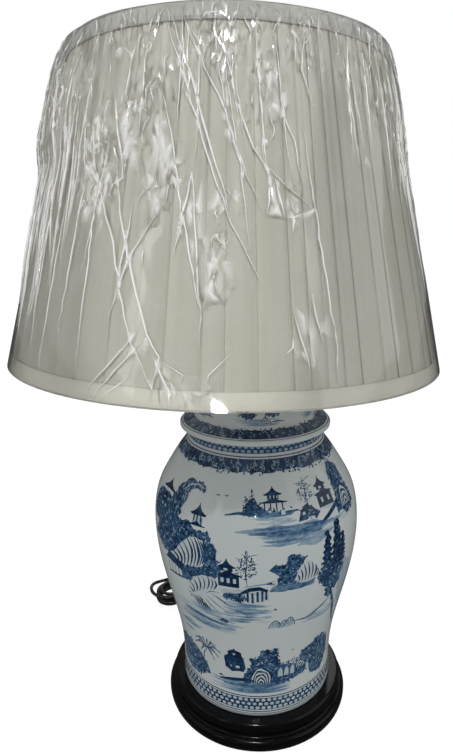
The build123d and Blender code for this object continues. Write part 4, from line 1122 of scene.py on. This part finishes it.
# %% Far shore with its pavilion
def far_shore(art):
    """Right of the middle, just under the neck."""
    art.line([(-19, 258), (-12, 260.5), (-4, 260), (6, 259), (14, 260.5), (21, 261)], 3.4, 0.75, 0.95)
    art.area([(-6, 258), (0, 261), (9, 262), (19, 261), (16, 258.5), (5, 257)], 0.6, 0.9, 0.5)
    water(art, -6, 19, 251, 257, 9, 0.3, 0.45)
    grove(art, [(-10, 259), (-9.4, 268), (-6, 272), (-2, 270), (1.5, 266), (2.5, 261)], 46, 2.4)
    for x, top in ((-8.2, 274), (-4.9, 278)):
        art.line([(x, 262), (x + 0.2, 268), (x, top)], 1.0, 0.9)
        art.dabs([(x - 1.6, top - 5), (x, top + 1), (x + 1.6, top - 4)], 9, 2.3, (0.95, 0.7), (0, 180))
    pavilion(art, 7.1, 262.3, 29, 17.5)
    art.dabs([(1, 260), (19, 260), (17, 264), (3, 264)], 24, 2.5, (0.9, 0.75, 0.6))
    box(art, 12, 259, 4, 3.6, 0.05)
    grove(art, [(21, 252), (21.5, 259), (24, 263), (29, 262), (32.5, 256), (31, 251)], 40, 2.6, base=0.85)
    box(art, 23.5, 256, 2.6, 2.2, 0.1)
    lacy_tree(art, 27, 258, 26, 13, 95)
    art.area([(32, 257), (36, 259), (45, 260), (47, 257), (40, 255)], 0.1)
    house(art, 39.6, 257.5, 25, 24, 2, 1.0)
    art.line([(34, 245.5), (39, 249.5), (44, 254), (50, 260)], 4.2, 0.9, 1.0, 0.6)
    art.line([(22, 249), (30, 247), (35, 246.5)], 1.8, 0.8)
    grove(art, [(49, 263), (48, 276), (52, 286), (58, 289), (62, 284), (64, 272), (60, 262)], 100, 3.4)
    grove(art, [(46, 250), (47, 262), (56, 268), (64, 262), (66, 246), (56, 242)], 70, 3.2)
    arched_rock(art, 56.5, 249.5, 11.5, 19, 4)
    for left, right, z, wide in ((-13, 30, 245, 4.6), (-6, 48, 243, 4.6), (0, 33, 239.5, 4.2), (-2, 20, 248, 3),
                                 (1, 20, 236, 3.4), (17, 42, 236, 4.6), (18, 36, 231, 4.2), (14, 34, 247, 4)):
        steps = [(left + (right - left) * t / 7, z + 0.9 * math.sin(t * 1.3 + left)) for t in range(8)]
        art.line(steps, wide * 1.6, 0.5, 0.62, 0.1)
    water(art, -8, 40, 233, 249, 16, 0.62, 0.5)
    water(art, 30, 62, 238, 248, 7, 0.4, 0.4)
    bird(art, -24.5, 272)
    bird(art, -19.4, 272.5)


print("first part:", far_shore.__doc__)

# %% Wooded cliff with striped rocks
def cliff(art):
    """The whole left side, from the neck to the waist."""
    roof(art, -63.2, 262, 26, 9)
    grove(art, [(-78, 232), (-77, 256), (-70, 259), (-60, 260), (-56, 252), (-58, 236), (-66, 226)], 120, 4)
    house(art, -63.5, 243, 20, 17, 2, 0.8)
    grove(art, [(-57, 240), (-57, 258), (-53.5, 270), (-49, 277), (-43, 280), (-36, 279), (-31.8, 274),
                (-34, 272.5), (-40, 274), (-44.5, 268), (-46, 258), (-46.5, 248), (-50, 240)], 210, 3.6, (60, 140))
    art.line([(-34, 274.6), (-39, 277), (-45, 275), (-50, 268)], 1.6, 0.12, 0.9)
    grove(art, [(-71, 214), (-66, 238), (-56, 246), (-46, 244), (-40, 245), (-36, 240), (-28, 240), (-23.5, 230),
                (-22, 218), (-22.5, 207), (-28, 199), (-40, 200), (-56, 201), (-66, 206)], 420, 3.8)
    box(art, -34.2, 243.5, 10, 8, 0.75)
    box(art, -36, 244, 2, 4, 0.1)
    box(art, -33, 245, 2, 4, 0.1)
    roof(art, -34.6, 243.5, 19, 5)
    box(art, -34.4, 247.6, 9, 7, 0.2)
    for x in (-36.6, -34.5, -32.3):
        box(art, x, 247.6, 1.3, 6.5, 1.0)
    roof(art, -34.2, 253, 18, 9.5)
    rock = [(-57, 201), (-50, 209), (-45, 220), (-40, 229), (-35, 233), (-30.5, 231), (-28.6, 222), (-30, 206),
            (-34, 198), (-44, 197)]
    striped_rock(art, rock, [(-55, 204), (-47, 217), (-40, 230), (-34, 232.5), (-30, 229)],
                 [(-50, 199), (-44, 198.5), (-38, 202), (-33, 204), (-29, 210)], 11, 2.6, 2.5)
    art.area([(-60, 196), (-55, 204), (-43, 200), (-38, 193), (-44, 191)], 0.9, 1.0, 0.4)
    for x in range(-57, -41, 3):
        box(art, x, 183, 1.0, 10, 0.75)
    art.area([(-58, 182), (-41, 186), (-41, 183.5), (-58, 179.5)], 0.8, 0.9, 0.3)
    grove(art, [(-44, 187), (-43, 199), (-36, 203), (-24, 203), (-22, 198), (-30, 190), (-38, 178)], 90, 3.0)
    house(art, -16.6, 189.5, 24, 29, 3, 0.92)
    lacy_tree(art, -7.6, 191, 35, 12, 150)
    grove(art, [(-25, 199), (-25, 212), (-21, 215), (-20, 203)], 30, 2.8)
    rock = [(-43.5, 168), (-41, 180), (-37, 190), (-31, 196), (-25, 197), (-22.6, 190), (-24, 178), (-27, 162),
            (-33, 154), (-38, 158)]
    striped_rock(art, rock, [(-42, 170), (-40, 183), (-34, 193), (-28, 197), (-24, 194)],
                 [(-41, 164), (-38, 172), (-34, 176), (-29, 181), (-25, 183)], 9, 1.4, 1.7)
    striped_rock(art, [(-41, 170), (-36, 172), (-31, 166), (-28, 155), (-34, 152), (-39, 158)],
                 [(-40, 168), (-35, 170), (-31, 164)], [(-37, 158), (-33, 154), (-29, 154)], 7, 0.8, 1.9)
    rock = [(-33, 164), (-31, 176), (-27, 182), (-22, 181), (-18, 174), (-13, 166), (-17, 159), (-25, 155)]
    art.area(rock, 0.03, 1.0, 0.3)
    for (a, b, c) in (((-30, 176), (-27, 180), (-22, 181)), ((-27, 178), (-22, 173), (-16, 165)),
                      ((-29, 173), (-25, 167), (-19, 159)), ((-31, 170), (-28, 163), (-24, 157)),
                      ((-24, 176), (-19, 170), (-14, 166)), ((-32, 166), (-30, 160), (-28, 156))):
        art.line([a, b, c], 1.1, 0.7)


print("second part:", cliff.__doc__)

# %% River, island and cypresses
def river(art):
    """The middle, with the bridge, and the cypresses on the right."""
    art.area([(-22, 187), (-8, 188), (1, 187), (3, 182), (-4, 183), (-14, 179), (-20, 181)], 0.15, 0.9, 0.5)
    bank = [(-20, 176), (-17, 183), (-10, 184), (-6, 178), (-12, 172)]
    grove(art, bank, 40, 2.6)
    art.line([(-10, 184), (-6, 188.5), (-1, 190), (3.2, 187)], 4.6, 0.92, 1.0, 0.6)
    for x, low in ((-7, 174), (-4.6, 173), (-2, 174.5), (0.4, 175), (2.4, 177)):
        box(art, x, low, 2.0, 12, 0.85)
        box(art, x + 0.9, low - 1, 1.0, 8, 0.3, 0.7)
    boat(art, 4.6, 194, 10)
    art.line([(-9, 191), (-3, 193.5), (2, 195), (7, 198)], 1.6, 0.5, 0.8)
    art.area([(4, 186), (6, 192), (12, 193), (24, 191), (30, 195), (28, 189), (22, 185.5), (12, 185)], 0.62, 0.85, 0.5)
    water(art, 3, 29, 186, 194, 14, 0.6, 0.5)
    grove(art, [(8.4, 192), (8, 204), (5.8, 209), (8, 215), (12, 213), (14.5, 207), (18, 203), (18, 193)], 80, 2.9)
    grove(art, [(12, 205), (12.5, 220), (16, 224), (19, 221), (23.5, 219), (20, 208), (17, 202)], 70, 2.9)
    rock = [(17, 196), (19, 207), (22, 214), (26, 212), (30, 203), (31, 195), (26, 191), (20, 192)]
    striped_rock(art, rock, [(18, 201), (21, 210), (25, 213), (29, 206), (31, 198)],
                 [(19, 193), (22, 192), (25, 193), (28, 194), (30, 194)], 8, 0.9, 1.7)
    cypress(art, 36.2, 196, 236, 9.5)
    cypress(art, 43.6, 193, 243, 13)
    cypress(art, 48.5, 196, 228, 7)
    grove(art, [(31, 196), (31, 184), (36, 176), (40, 160), (44, 164), (50, 180), (51, 196), (41, 201)], 150, 3.6)
    art.line([(42, 170), (46, 156), (50, 142), (54, 126), (59, 112)], 5.0, 0.85, 0.8)
    art.area([(50, 196), (58, 192), (64, 176), (66, 150), (60, 128), (55, 140), (49, 168)], 0.4, 0.5, 1.5)
    water(art, -22, 6, 148, 174, 30, 0.5, 0.42)
    water(art, -18, 3, 152, 170, 16, 0.62, 0.4)
    boat(art, 7.4, 163.5, 5)
    hills(art, ((4, 12, 140, 150), (10, 17, 140, 149.5), (13, 20, 141, 152)))
    art.line([(19, 146), (26, 145), (33, 149), (38, 154), (43, 158)], 2.6, 0.7, 0.9)
    water(art, 22, 52, 136, 152, 16, 0.4, 0.4, 3)


print("third part:", river.__doc__)

# %% Near shore
def near_shore(art):
    """Round the foot, with the tower on the left and the arched rock in the middle."""
    water(art, -62, -10, 133, 160, 26, 0.4, 0.42, -8)
    water(art, -56, -14, 136, 150, 14, 0.62, 0.45, -6)
    art.line([(-50, 158), (-42, 153), (-33, 148), (-24, 144)], 4.0, 0.04, 0.9)
    art.area([(-24, 146), (-22, 150), (-18, 148), (-19, 144)], 0.75, 0.9, 0.5)
    water(art, -60, -38, 112, 128, 12, 0.5, 0.42)
    grove(art, [(-72, 58), (-74, 84), (-67, 94), (-56, 96), (-46, 88), (-40, 76), (-39, 66), (-48, 57), (-60, 55)],
          300, 3.6, base=0.6)
    art.line([(-41, 66), (-43.5, 78), (-42, 90), (-38, 99)], 1.6, 0.85)
    for end in ((-50, 99), (-49, 106), (-43, 109), (-36, 110), (-30, 107), (-27, 100), (-29, 93), (-33, 87), (-45, 92)):
        for side in (0, 2.4):
            art.line([(-38, 99), ((-38 + end[0]) / 2, 100.5 + (end[1] - 96) * 0.7 + side), (end[0], end[1] - side)],
                     1.7, 0.7, 0.95)
    art.area([(-24.5, 84), (-25, 97), (-22, 101), (-21, 106), (-17.6, 109.5), (-13, 106), (-11.6, 99), (-10.6, 94),
              (-10, 86), (-12, 81), (-20, 80)], 0.93, 1.0, 0.3)
    roof(art, -17.3, 98, 25, 5)
    roof(art, -17.3, 104, 18, 6)
    box(art, -17.6, 101.5, 3, 2.6, 0.25)
    box(art, -15.6, 85, 4.4, 3, 0.05)
    box(art, -20.4, 85.5, 1.8, 2, 0.2)
    grove(art, [(-6, 84), (-6, 100), (-1, 103), (0, 109), (5, 112), (11.6, 111), (12.5, 100), (14, 88), (5, 82)],
          190, 3.6, base=0.8)
    grove(art, [(-12, 66), (-10, 84), (-6, 90), (12, 90), (22, 88), (34, 80), (37, 71), (24, 67), (8, 64)], 220, 3.4,
          base=0.7)
    arched_rock(art, 0.4, 66.5, 15, 22, 5)
    art.line([(-30, 67), (-20, 69.5), (-10, 71.5), (-4, 70)], 4.4, 0.9, 1.0, 0.3)
    art.area([(-27, 70.6), (-12, 73.4), (-12, 77), (-26, 75)], 0.03, 0.9)
    boat(art, -28.5, 70, 9)
    for x in (14, 18.5, 23):
        art.area([(x - 1.8, 74), (x - 1.4, 82), (x, 85.5), (x + 1.4, 82), (x + 1.8, 74)], 0.08, 0.95)
    arched_rock(art, 29.5, 80, 8, 13, 3)
    grove(art, [(27, 92), (30, 100), (36, 103), (41, 108), (50, 106), (58, 92), (60, 72), (52, 58), (40, 62), (36, 78)],
          280, 3.8, base=0.62)
    art.dabs([(13, 84), (15, 92), (26, 95), (30, 88)], 36, 2.8, (0.9, 0.7))
    water(art, -42, 22, 56, 68, 40, 0.5, 0.45)
    art.line([(-27, 62), (-14, 63.5), (0, 62.5), (15, 65)], 5.4, 0.62, 0.6)
    bird(art, 21.6, 105)


print("last part:", near_shore.__doc__)

# %% Paint the front and the back
jar_art = Painting(3)
for shift, flip, plenty in ((0, 1, 0.85), (180, -1, 0.35)):
    jar_art.shift, jar_art.flip, jar_art.plenty = shift, flip, plenty
    jar_art.rand.seed(11)
    for part in (cliff, far_shore, river, near_shore):
        part(jar_art)
print("strokes in the landscape", len(jar_art.strokes))

# %% [markdown]
# ## The borders
#
# Two bands of small cells, like fish scales, ring the neck and the foot. Under the neck lies a deep
# band of scrollwork: nearly black cobalt with curls scratched out of it, scalloped along its lower
# edge. The lid's flange wears the same scrollwork.

# %% Borders
def ring_line(art, z, width, tone=0.85):
    """A line right round."""
    there, back = range(-180, 181, 6), range(180, -181, -6)
    steps = [(d, z + s * width / 2) for s, row in ((-1, there), (1, back)) for d in row]
    art.lay([Vector((d * GLAZE, h)) for d, h in steps], tone)


def scale_band(art, low, high, rows, cells, pale=(0.03, 0.2)):
    """Rows of pale cells on a dark ground."""
    ring_line(art, (low + high) / 2, high - low, 0.86)
    pitch = 360 / cells
    tall = (high - low) / rows
    for row in range(rows):
        for cell in range(cells):
            x = -180 + pitch * (cell + 0.5) + (pitch / 2 if row % 2 else 0)
            z = low + tall * (row + 0.5)
            grow = art.rand.uniform(0.36, 0.42)
            corners = [(math.cos(k * math.pi / 3) * pitch * grow, math.sin(k * math.pi / 3) * tall * grow * 1.08)
                       for k in range(6)]
            art.lay([Vector(((x + a) * GLAZE, z + b)) for a, b in corners], art.rand.uniform(*pale))


def scroll_band(art, low, high, curls, lower_edge=True):
    """Dark ground with pale curls and a scalloped edge."""
    jags = [art.rand.uniform(0.5, 2.3) for _ in range(120)]
    inner, outer = (low, high) if lower_edge else (high, low)
    sign = 1 if lower_edge else -1
    ragged = [(-180 + 3 * i, inner + sign * jag) for i, jag in enumerate(jags + jags[:1])]
    plain = [(degrees, outer) for degrees in range(180, -181, -6)]
    art.lay([Vector((d * GLAZE, z)) for d, z in ragged + plain], 0.92)
    for i in range(curls):
        x, z = art.rand.uniform(-180, 180), art.rand.uniform(low + 1, high - 1)
        size, start = art.rand.uniform(1.4, 3.2), art.rand.uniform(0, 360)
        turn = art.rand.choice((-1, 1))
        arc = []
        for k in range(6):
            angle = math.radians(start + turn * k * 52)
            reach_mm = size * (1 - k * 0.14)
            arc.append((x + math.cos(angle) * reach_mm / GLAZE, z + math.sin(angle) * reach_mm))
        arc = [(a, min(high + 1.2, max(low - 1.5, b))) for a, b in arc]
        art.line(arc, art.rand.uniform(0.55, 0.9), art.rand.choice((0.15, 0.3, 0.4)), 0.95, 0.5)
    edge_z = low if lower_edge else high
    for i in range(curls // 4):
        x = art.rand.uniform(-180, 180)
        place = (x, edge_z + sign * art.rand.uniform(-0.6, 1.6))
        long, lean = art.rand.uniform(1.6, 3.4), art.rand.uniform(0, 180)
        art.dab(place, long, 1.8, lean, art.rand.choice((1.0, 0.85)))


print("borders:", ring_line.__name__, scale_band.__name__, scroll_band.__name__)

# %% Paint the borders and the lid
jar_art.shift, jar_art.flip = 0, 1
ring_line(jar_art, 51.6, 1.2)
scale_band(jar_art, 36.2, 49.8, 3, 88)
ring_line(jar_art, 34.2, 1.0)
ring_line(jar_art, 31.8, 0.8, 0.6)
scroll_band(jar_art, 290.5, 301.6, 360)
ring_line(jar_art, 303.2, 0.9)
scale_band(jar_art, 305.8, 313.5, 2, 72, (0.25, 0.4))

lid_art = Painting(5)
scroll_band(lid_art, 9.8, 23.5, 330, lower_edge=False)
ring_line(lid_art, 8.0, 0.9)
for shift in (-150, -75, 0, 75, 140):
    lid_art.shift = shift
    water(lid_art, -28, 22, 27, 34, 12, 0.4, 0.45)
    grove(lid_art, [(-22, 35), (-18, 40), (-8, 41), (0, 38), (-4, 34)], 50, 2.4)
    arched_rock(lid_art, 8, 28, 9, 7, 3)
    lid_art.line([(12, 30), (20, 31), (27, 30)], 1.4, 0.85)
    grove(lid_art, [(6, 36), (12, 41), (22, 40), (25, 36)], 30, 2.4)
print("strokes in all", len(jar_art.strokes), "and on the lid", len(lid_art.strokes))

# %% [markdown]
# ## Cutting the glaze
#
# The jar and the lid are turned shapes, so a profile is all that is needed to wrap the plane round them.
# It is read off the construction model's own mesh, as the outermost point in each short step of height,
# and joined by smooth cubic pieces. Shading then uses the profile's true normals, so the little facets
# don't show. The skin goes on over the rim and under the foot to an inner wall, as a slip-cast jar's does.

# %% Read a profile and follow it
class Turned:
    """A turned surface through (along, radius, height) points, along being mm of glaze."""

    def __init__(self, places):
        self.places = np.asarray(places, float)
        self.slopes = np.gradient(self.places, self.places[:, 0], axis=0)

    def at(self, along_mm):
        """Radius, height and outward slope at distances along the section."""
        s = np.asarray(along_mm, float)
        knots = self.places[:, 0]
        i = np.clip(np.searchsorted(knots, s) - 1, 0, len(knots) - 2)
        gap = knots[i + 1] - knots[i]
        t = ((s - knots[i]) / gap)[:, None]
        a, b = self.places[i, 1:], self.places[i + 1, 1:]
        p, q = self.slopes[i, 1:] * gap[:, None], self.slopes[i + 1, 1:] * gap[:, None]
        spot = (2 * t**3 - 3 * t**2 + 1) * a + (t**3 - 2 * t**2 + t) * p
        spot = spot + (3 * t**2 - 2 * t**3) * b + (t**3 - t**2) * q
        way = (6 * t**2 - 6 * t) * (a - b) + (3 * t**2 - 4 * t + 1) * p + (3 * t**2 - 2 * t) * q
        return spot, way / np.linalg.norm(way, axis=1)[:, None]


def outer_points(name, low, high, step):
    """The outermost (radius, height) in mm in each step of height of a construction mesh."""
    piece = nodes[name]
    outside = [v for v in piece.data.vertices if v.normal.xy.dot(v.co.xy) > 0]
    cloud = np.array([tuple(piece.matrix_world @ v.co) for v in outside]) / MM
    radius = np.hypot(cloud[:, 0], cloud[:, 1])
    found = []
    for start in np.arange(low, high, step):
        chosen = np.nonzero((cloud[:, 2] >= start) & (cloud[:, 2] < start + step))[0]
        if len(chosen):
            best = chosen[np.argmax(radius[chosen])]
            found.append((radius[best], cloud[best, 2]))
    return found


print("the jar is widest at", round(max(outer_points("jar_body", 29, 304, 3))[0], 1), "mm from its axis")

# %% Cut the glaze along the strokes
SECTOR = 3.0  # degrees between the columns of plain points
SEAM_EDGE = 179.95 * GLAZE  # strokes stop here, just short of the seam
END_GAP = 0.3  # mm that strokes keep from the ends of the section


def within(outline, x, z):
    """Which of many points an outline goes round."""
    a = np.array([tuple(p) for p in outline])
    b = np.roll(a, -1, axis=0)
    ax, az, bx, bz = (part[:, None] for part in (a[:, 0], a[:, 1], b[:, 0], b[:, 1]))
    side = (bx - ax) * (z - az) - (x - ax) * (bz - az)
    turns = ((az <= z) & (bz > z) & (side > 0)).sum(0) - ((bz <= z) & (az > z) & (side < 0)).sum(0)
    return turns != 0


def cut_glaze(name, art, turned, low, high, rows):
    """Triangulates the plane along every stroke, tones the facets and wraps them round."""
    across = int(360 / SECTOR) + 1
    points = []
    for row in range(rows + 1):
        z = low + (high - low) * row / rows
        points += [Vector(((-180 + column * SECTOR) * GLAZE, z)) for column in range(across)]
    sides = [(r * across + c, (r + 1) * across + c) for r in range(rows) for c in (0, across - 1)]
    sides += [(r * across + c, r * across + c + 1) for r in (0, rows) for c in range(across - 1)]
    for outline, _, _ in art.strokes:
        ids = range(len(points), len(points) + len(outline))
        sides += zip(ids, [*ids[1:], ids[0]])
        for place in outline:
            at_seam = abs(place.x) == 180 * GLAZE
            x = place.x if at_seam else min(SEAM_EDGE, max(-SEAM_EDGE, place.x))
            points.append(Vector((x, min(high - END_GAP, max(low + END_GAP, place.y)))))
    flat_points, _, faces, _, _, _ = delaunay_2d_cdt(points, sides, [], 0, 1e-4, False)
    plane = np.array([tuple(p) for p in flat_points])
    middles = plane[np.array(faces)].mean(axis=1)
    order = np.argsort(middles[:, 0])
    xs, zs = middles[order].T
    tones = np.zeros(len(faces))
    for outline, tone, cover in art.strokes:
        left, right = min(p.x for p in outline), max(p.x for p in outline)
        bottom, top = min(p.y for p in outline), max(p.y for p in outline)
        near = np.arange(*np.searchsorted(xs, (left, right)))
        near = near[(zs[near] > bottom) & (zs[near] < top)]
        hit = order[near[within(outline, xs[near], zs[near])]]
        tones[hit] += (tone - tones[hit]) * cover
    spots, ways = turned.at(plane[:, 1])
    turn = np.radians(plane[:, 0] / GLAZE)
    wrapped = np.stack([spots[:, 0] * np.sin(turn), -spots[:, 0] * np.cos(turn), spots[:, 1]], 1) * MM
    outward = np.stack([ways[:, 1] * np.sin(turn), -ways[:, 1] * np.cos(turn), -ways[:, 0]], 1)
    print(name, len(points), "points in,", len(faces), "facets out")
    return wrapped, outward, faces, tones


print("plain columns", int(360 / SECTOR) + 1)

# %% Build a glazed piece
def glazed(name, wrapped, outward, faces, tones, inner, node):
    """Builds the piece, with its unseen inner wall turned from (radius, height) in mm."""
    form = bmesh.new()
    cobalt = form.faces.layers.float.new("cobalt")
    facing = form.verts.layers.float_vector.new("facing")
    place = [form.verts.new(spot) for spot in wrapped]
    for vert, way in zip(place, outward):
        vert[facing] = way
    for corners, tone in zip(faces, tones):
        form.faces.new([place[i] for i in corners])[cobalt] = tone
    seam = [v for v in place if abs(v.co.x) < 1e-6 and v.co.y > 0]
    bmesh.ops.remove_doubles(form, verts=seam, dist=2e-6)
    rims = [edge for edge in form.edges if edge.is_boundary]
    middle = (wrapped[:, 2].min() + wrapped[:, 2].max()) / 2
    rim = [edge for edge in rims if edge.verts[0].co.z < middle]
    last = [edge for edge in rims if edge.verts[0].co.z >= middle]
    for radius, height in inner:
        fresh, rim = new_rim(form, rim)
        for vert in fresh:
            ray = Vector((vert.co.x, vert.co.y)).normalized() * radius * MM
            vert.co = (ray.x, ray.y, height * MM)
            vert[facing] = (0, 0, 0)
    bmesh.ops.bridge_loops(form, edges=rim + last)
    bmesh.ops.recalc_face_normals(form, faces=form.faces)
    piece = new_piece(name, form, "lamp")
    smooth(piece, 40)
    ways = np.zeros(len(piece.data.vertices) * 3, np.float32)
    piece.data.attributes["facing"].data.foreach_get("vector", ways)
    piece.data.normals_split_custom_set_from_vertices(ways.reshape(-1, 3))
    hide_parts(node)
    print(name, len(piece.data.polygons), "facets")
    return piece


print("custom normals come from the section")

# %% [markdown]
# The jar's outline is read off the construction model in coarse steps and eased a little between them,
# so that its shoulder throws back one highlight and not a row of them. The last numbers of each section
# turn over the rim. The inner wall is a plain list, because nothing sees it once the lid is on.

# %% The jar
jar_inner = [(75.5, 28), (74.8, 28.6), (72.9, 34), (6.3, 34), (6.3, 39), (17.1, 39.2), (60.1, 39.8), (70.9, 40),
             (72.6, 45), (74.3, 50), (76, 58), (76.7, 72), (78.6, 90), (82.1, 108), (86.8, 128), (91.5, 147.3),
             (95.3, 163.3), (98.5, 180), (100.7, 198), (101.5, 215), (101, 228), (99.1, 242), (95.3, 256), (90.2, 265.8),
             (86.7, 271), (80.5, 281), (73.9, 292), (67.6, 299.7), (63.6, 305), (62.5, 306.5), (62.5, 315)]
outline_radii, outline_heights = zip(*outer_points("jar_body", 29, 304, 3))
heights = np.linspace(outline_heights[0], outline_heights[-1], 92)
radii = np.interp(heights, outline_heights, outline_radii)
drawn = radii.copy()
for _ in range(3):
    radii[2:-2] = (radii[:-4] + radii[1:-3] + radii[2:-2] + radii[3:-1] + radii[4:]) / 5
print("outline eased by at most", round(float(np.abs(radii - drawn).max()), 2), "mm")
jar_section = [(81.0, 28.0), (81.6, 28.4), *zip(radii, heights)]
jar_section += [(68.6, 305.0), (67.5, 306.5), (67.5, 315.0)]
jar_surface = Turned([(height, radius, height) for radius, height in jar_section])
jar_skin = cut_glaze("painted_jar", jar_art, jar_surface, 28.0, 315.0, 64)
painted_jar = glazed("painted_jar", *jar_skin, jar_inner, "jar_body")

# %% [markdown]
# The lid has a rounded lip, a flange that rises as a low cone and a dome that is read off the model. It
# is measured along its section and not by height, because the flange is nearly level.

# %% The lid
lid_inner = [(70, 315), (62, 315), (61, 314.6), (61, 305), (57, 305), (55.7, 314), (54, 323), (50, 331), (42, 338),
             (30, 342.4), (15, 344.3), (5.4, 344.5), (5.4, 349.5)]
lip = [(74.4 + 2.4 * math.sin(math.pi * i / 8), 318 - 3 * math.cos(math.pi * i / 8)) for i in range(8)]
flange = [(73.8 - 2.1 * i, 321.4 + 0.95 * i) for i in range(8)]
dome = outer_points("jar_lid", 329.5, 349.4, 2)
lid_section = lip + flange + dome + [(12.2, 349.45)]
lid_along = [0.0]
for (r0, z0), (r1, z1) in zip(lid_section, lid_section[1:]):
    lid_along.append(lid_along[-1] + math.hypot(r1 - r0, z1 - z0))
lid_surface = Turned([(s, r, z) for s, (r, z) in zip(lid_along, lid_section)])
lid_skin = cut_glaze("painted_lid", lid_art, lid_surface, 0.0, lid_along[-1], 30)
painted_lid = glazed("painted_lid", *lid_skin, lid_inner, "jar_lid")

# %% [markdown]
# Underglaze cobalt is never one blue. Where the brush was loaded it dries nearly black, a thin stroke
# stays grey-blue, and in the kiln it bleeds a little into the glaze. So the cobalt number only says how
# much pigment a stroke carries; noise thins and gathers it before a ramp turns it into colour. The glaze
# itself is very smooth, with a faint ripple and a few pinholes. Its white is painted as a cool mid-grey,
# far darker than porcelain, as painted shade for the shadow that the lampshade casts on the jar.

# %% Glaze the porcelain
# The first stop, the bare glaze, is painted mid-grey as painted shade.
COBALT = (
    (0.0, (0.335, 0.365, 0.363)), (0.12, (0.255, 0.305, 0.33)), (0.35, (0.105, 0.17, 0.235)),
    (0.6, (0.023, 0.062, 0.122)), (0.85, (0.004, 0.02, 0.052)), (1.0, (0.002, 0.01, 0.028)),
)


def painted_porcelain():
    """Clear glaze over cobalt of a varying depth."""
    finish = Finish("painted_porcelain", roughness=0.07, Specular_IOR_Level=0.4)
    pooled = finish.between(finish.noise(260, 4, 0.6), 0.3, 0.72, 0.72, 1.2)
    broad = finish.between(finish.noise(45, 3, 0.5), 0.3, 0.7, 0.85, 1.12)
    amount = finish.maths("MULTIPLY", finish.maths("MULTIPLY", finish.carried("cobalt"), pooled), broad, True)
    warm = finish.between(finish.noise(14, 3, 0.5), 0.45, 0.75, 0, 0.3)
    colour = finish.mix(warm, finish.ramp(amount, *COBALT), (0.98, 0.955, 0.9), "MULTIPLY")
    pinhole = finish.between(finish.noise(900, 2, 0.5), 0.74, 0.78)
    colour = finish.mix(finish.maths("MULTIPLY", pinhole, 0.35), colour, (0.2, 0.18, 0.16))
    ripple = finish.bump(finish.noise(30, 3, 0.5), 0.08, 0.0012)
    rough = finish.between(finish.noise(70, 4, 0.6), 0.3, 0.8, 0.05, 0.13)
    return finish.wire(Base_Color=colour, Roughness=rough, Normal=ripple)


wear(painted_porcelain(), painted_jar, painted_lid)
print("porcelain finished")

# %% [markdown]
# ## Table, background and lamps
#
# The photograph's background has been cleared to white, but the black plinth, the glaze and the film
# still mirror the dim room that it was taken in. So the table and the world look white to the camera,
# give soft light to everything, and look dim in mirrored rays. A tiny flash beside the camera makes the
# round highlights on the jar. The ceiling lamp and the boxes shape the shade and make the film glint.

# %% Set up the table
def studio_table():
    """A wide disc: white to the camera, plain to soft light and dim in mirrors."""
    disc = bmesh.new()
    bmesh.ops.create_circle(disc, cap_ends=True, segments=96, radius=14)
    mesh = bpy.data.meshes.new("table")
    disc.to_mesh(mesh)
    disc.free()
    table = bpy.data.objects.new("table", mesh)
    bpy.context.scene.collection.objects.link(table)
    finish = Finish("table_paint", (0.8, 0.8, 0.8), 0.9)
    paths = finish.node("LightPath").outputs
    white = finish.node("Emission", {"Color": (1, 1, 1), "Strength": 0.87}).outputs[0]
    shadows = finish.node("BsdfDiffuse", {"Color": (0.2, 0.2, 0.2)}).outputs[0]
    seen = finish.node("AddShader", {0: white, 1: shadows}).outputs[0]
    dim = finish.node("Emission", {"Color": (1, 1, 1), "Strength": 0.06}).outputs[0]
    lit = finish.node("MixShader", {0: paths["Is Glossy Ray"], 1: finish.shader.outputs[0], 2: dim}).outputs[0]
    finish.show(finish.node("MixShader", {0: paths["Is Camera Ray"], 1: lit, 2: seen}).outputs[0])
    wear(finish, table)


studio_table()
print("stage set")

# %% Set up the world and the lamps
WORLD_LIGHT = 0.88
WORLD_MIRRORED = 0.16


def studio_world():
    """A white surround that gives soft light and is dim in mirrors."""
    world = bpy.data.worlds.new("studio")
    world.use_nodes = True
    bpy.context.scene.world = world
    tree = world.node_tree
    back = tree.nodes["Background"].inputs
    back["Color"].default_value = (1, 1, 1, 1)
    paths = tree.nodes.new("ShaderNodeLightPath").outputs
    unseen, strength = (tree.nodes.new("ShaderNodeMix") for _ in range(2))
    unseen.inputs[2].default_value, unseen.inputs[3].default_value = WORLD_LIGHT, WORLD_MIRRORED
    strength.inputs[3].default_value = 1.0
    for source, target in (
        (paths["Is Glossy Ray"], unseen.inputs[0]), (paths["Is Camera Ray"], strength.inputs[0]),
        (unseen.outputs[0], strength.inputs[2]), (strength.outputs[0], back["Strength"]),
    ):
        tree.links.new(source, target)


def softbox(name, place, aim_height, size, power):
    """An unseen rectangular lamp that faces the lamp's axis at a height."""
    data = bpy.data.lights.new(name, "AREA")
    data.shape = "RECTANGLE"
    data.size, data.size_y = size
    data.energy = power
    box_light = bpy.data.objects.new(name, data)
    box_light.visible_camera = False
    bpy.context.scene.collection.objects.link(box_light)
    way = (Vector((0, 0, aim_height)) - Vector(place)).normalized()
    box_light.matrix_world = Matrix.Translation(place) @ way.to_track_quat("-Z", "Y").to_matrix().to_4x4()


studio_world()
softbox("flash", (-0.03, -0.59, 0.455), 0.35, (0.014, 0.011), 0.045)
softbox("ceiling", (-0.16, -1.75, 2.2), 0.35, (0.15, 0.12), 17)
softbox("window", (-1.5, -1.5, 1.1), 0.45, (0.3, 0.7), 0.9)
softbox("left", (-2.0, -0.4, 1.5), 0.4, (1.6, 1.8), 2.2)
softbox("right", (2.2, -0.7, 1.6), 0.35, (2.6, 2.4), 12)
softbox("back", (0.4, 2.0, 1.6), 0.35, (1.2, 0.9), 6)
bpy.context.scene.view_settings.view_transform = "Standard"
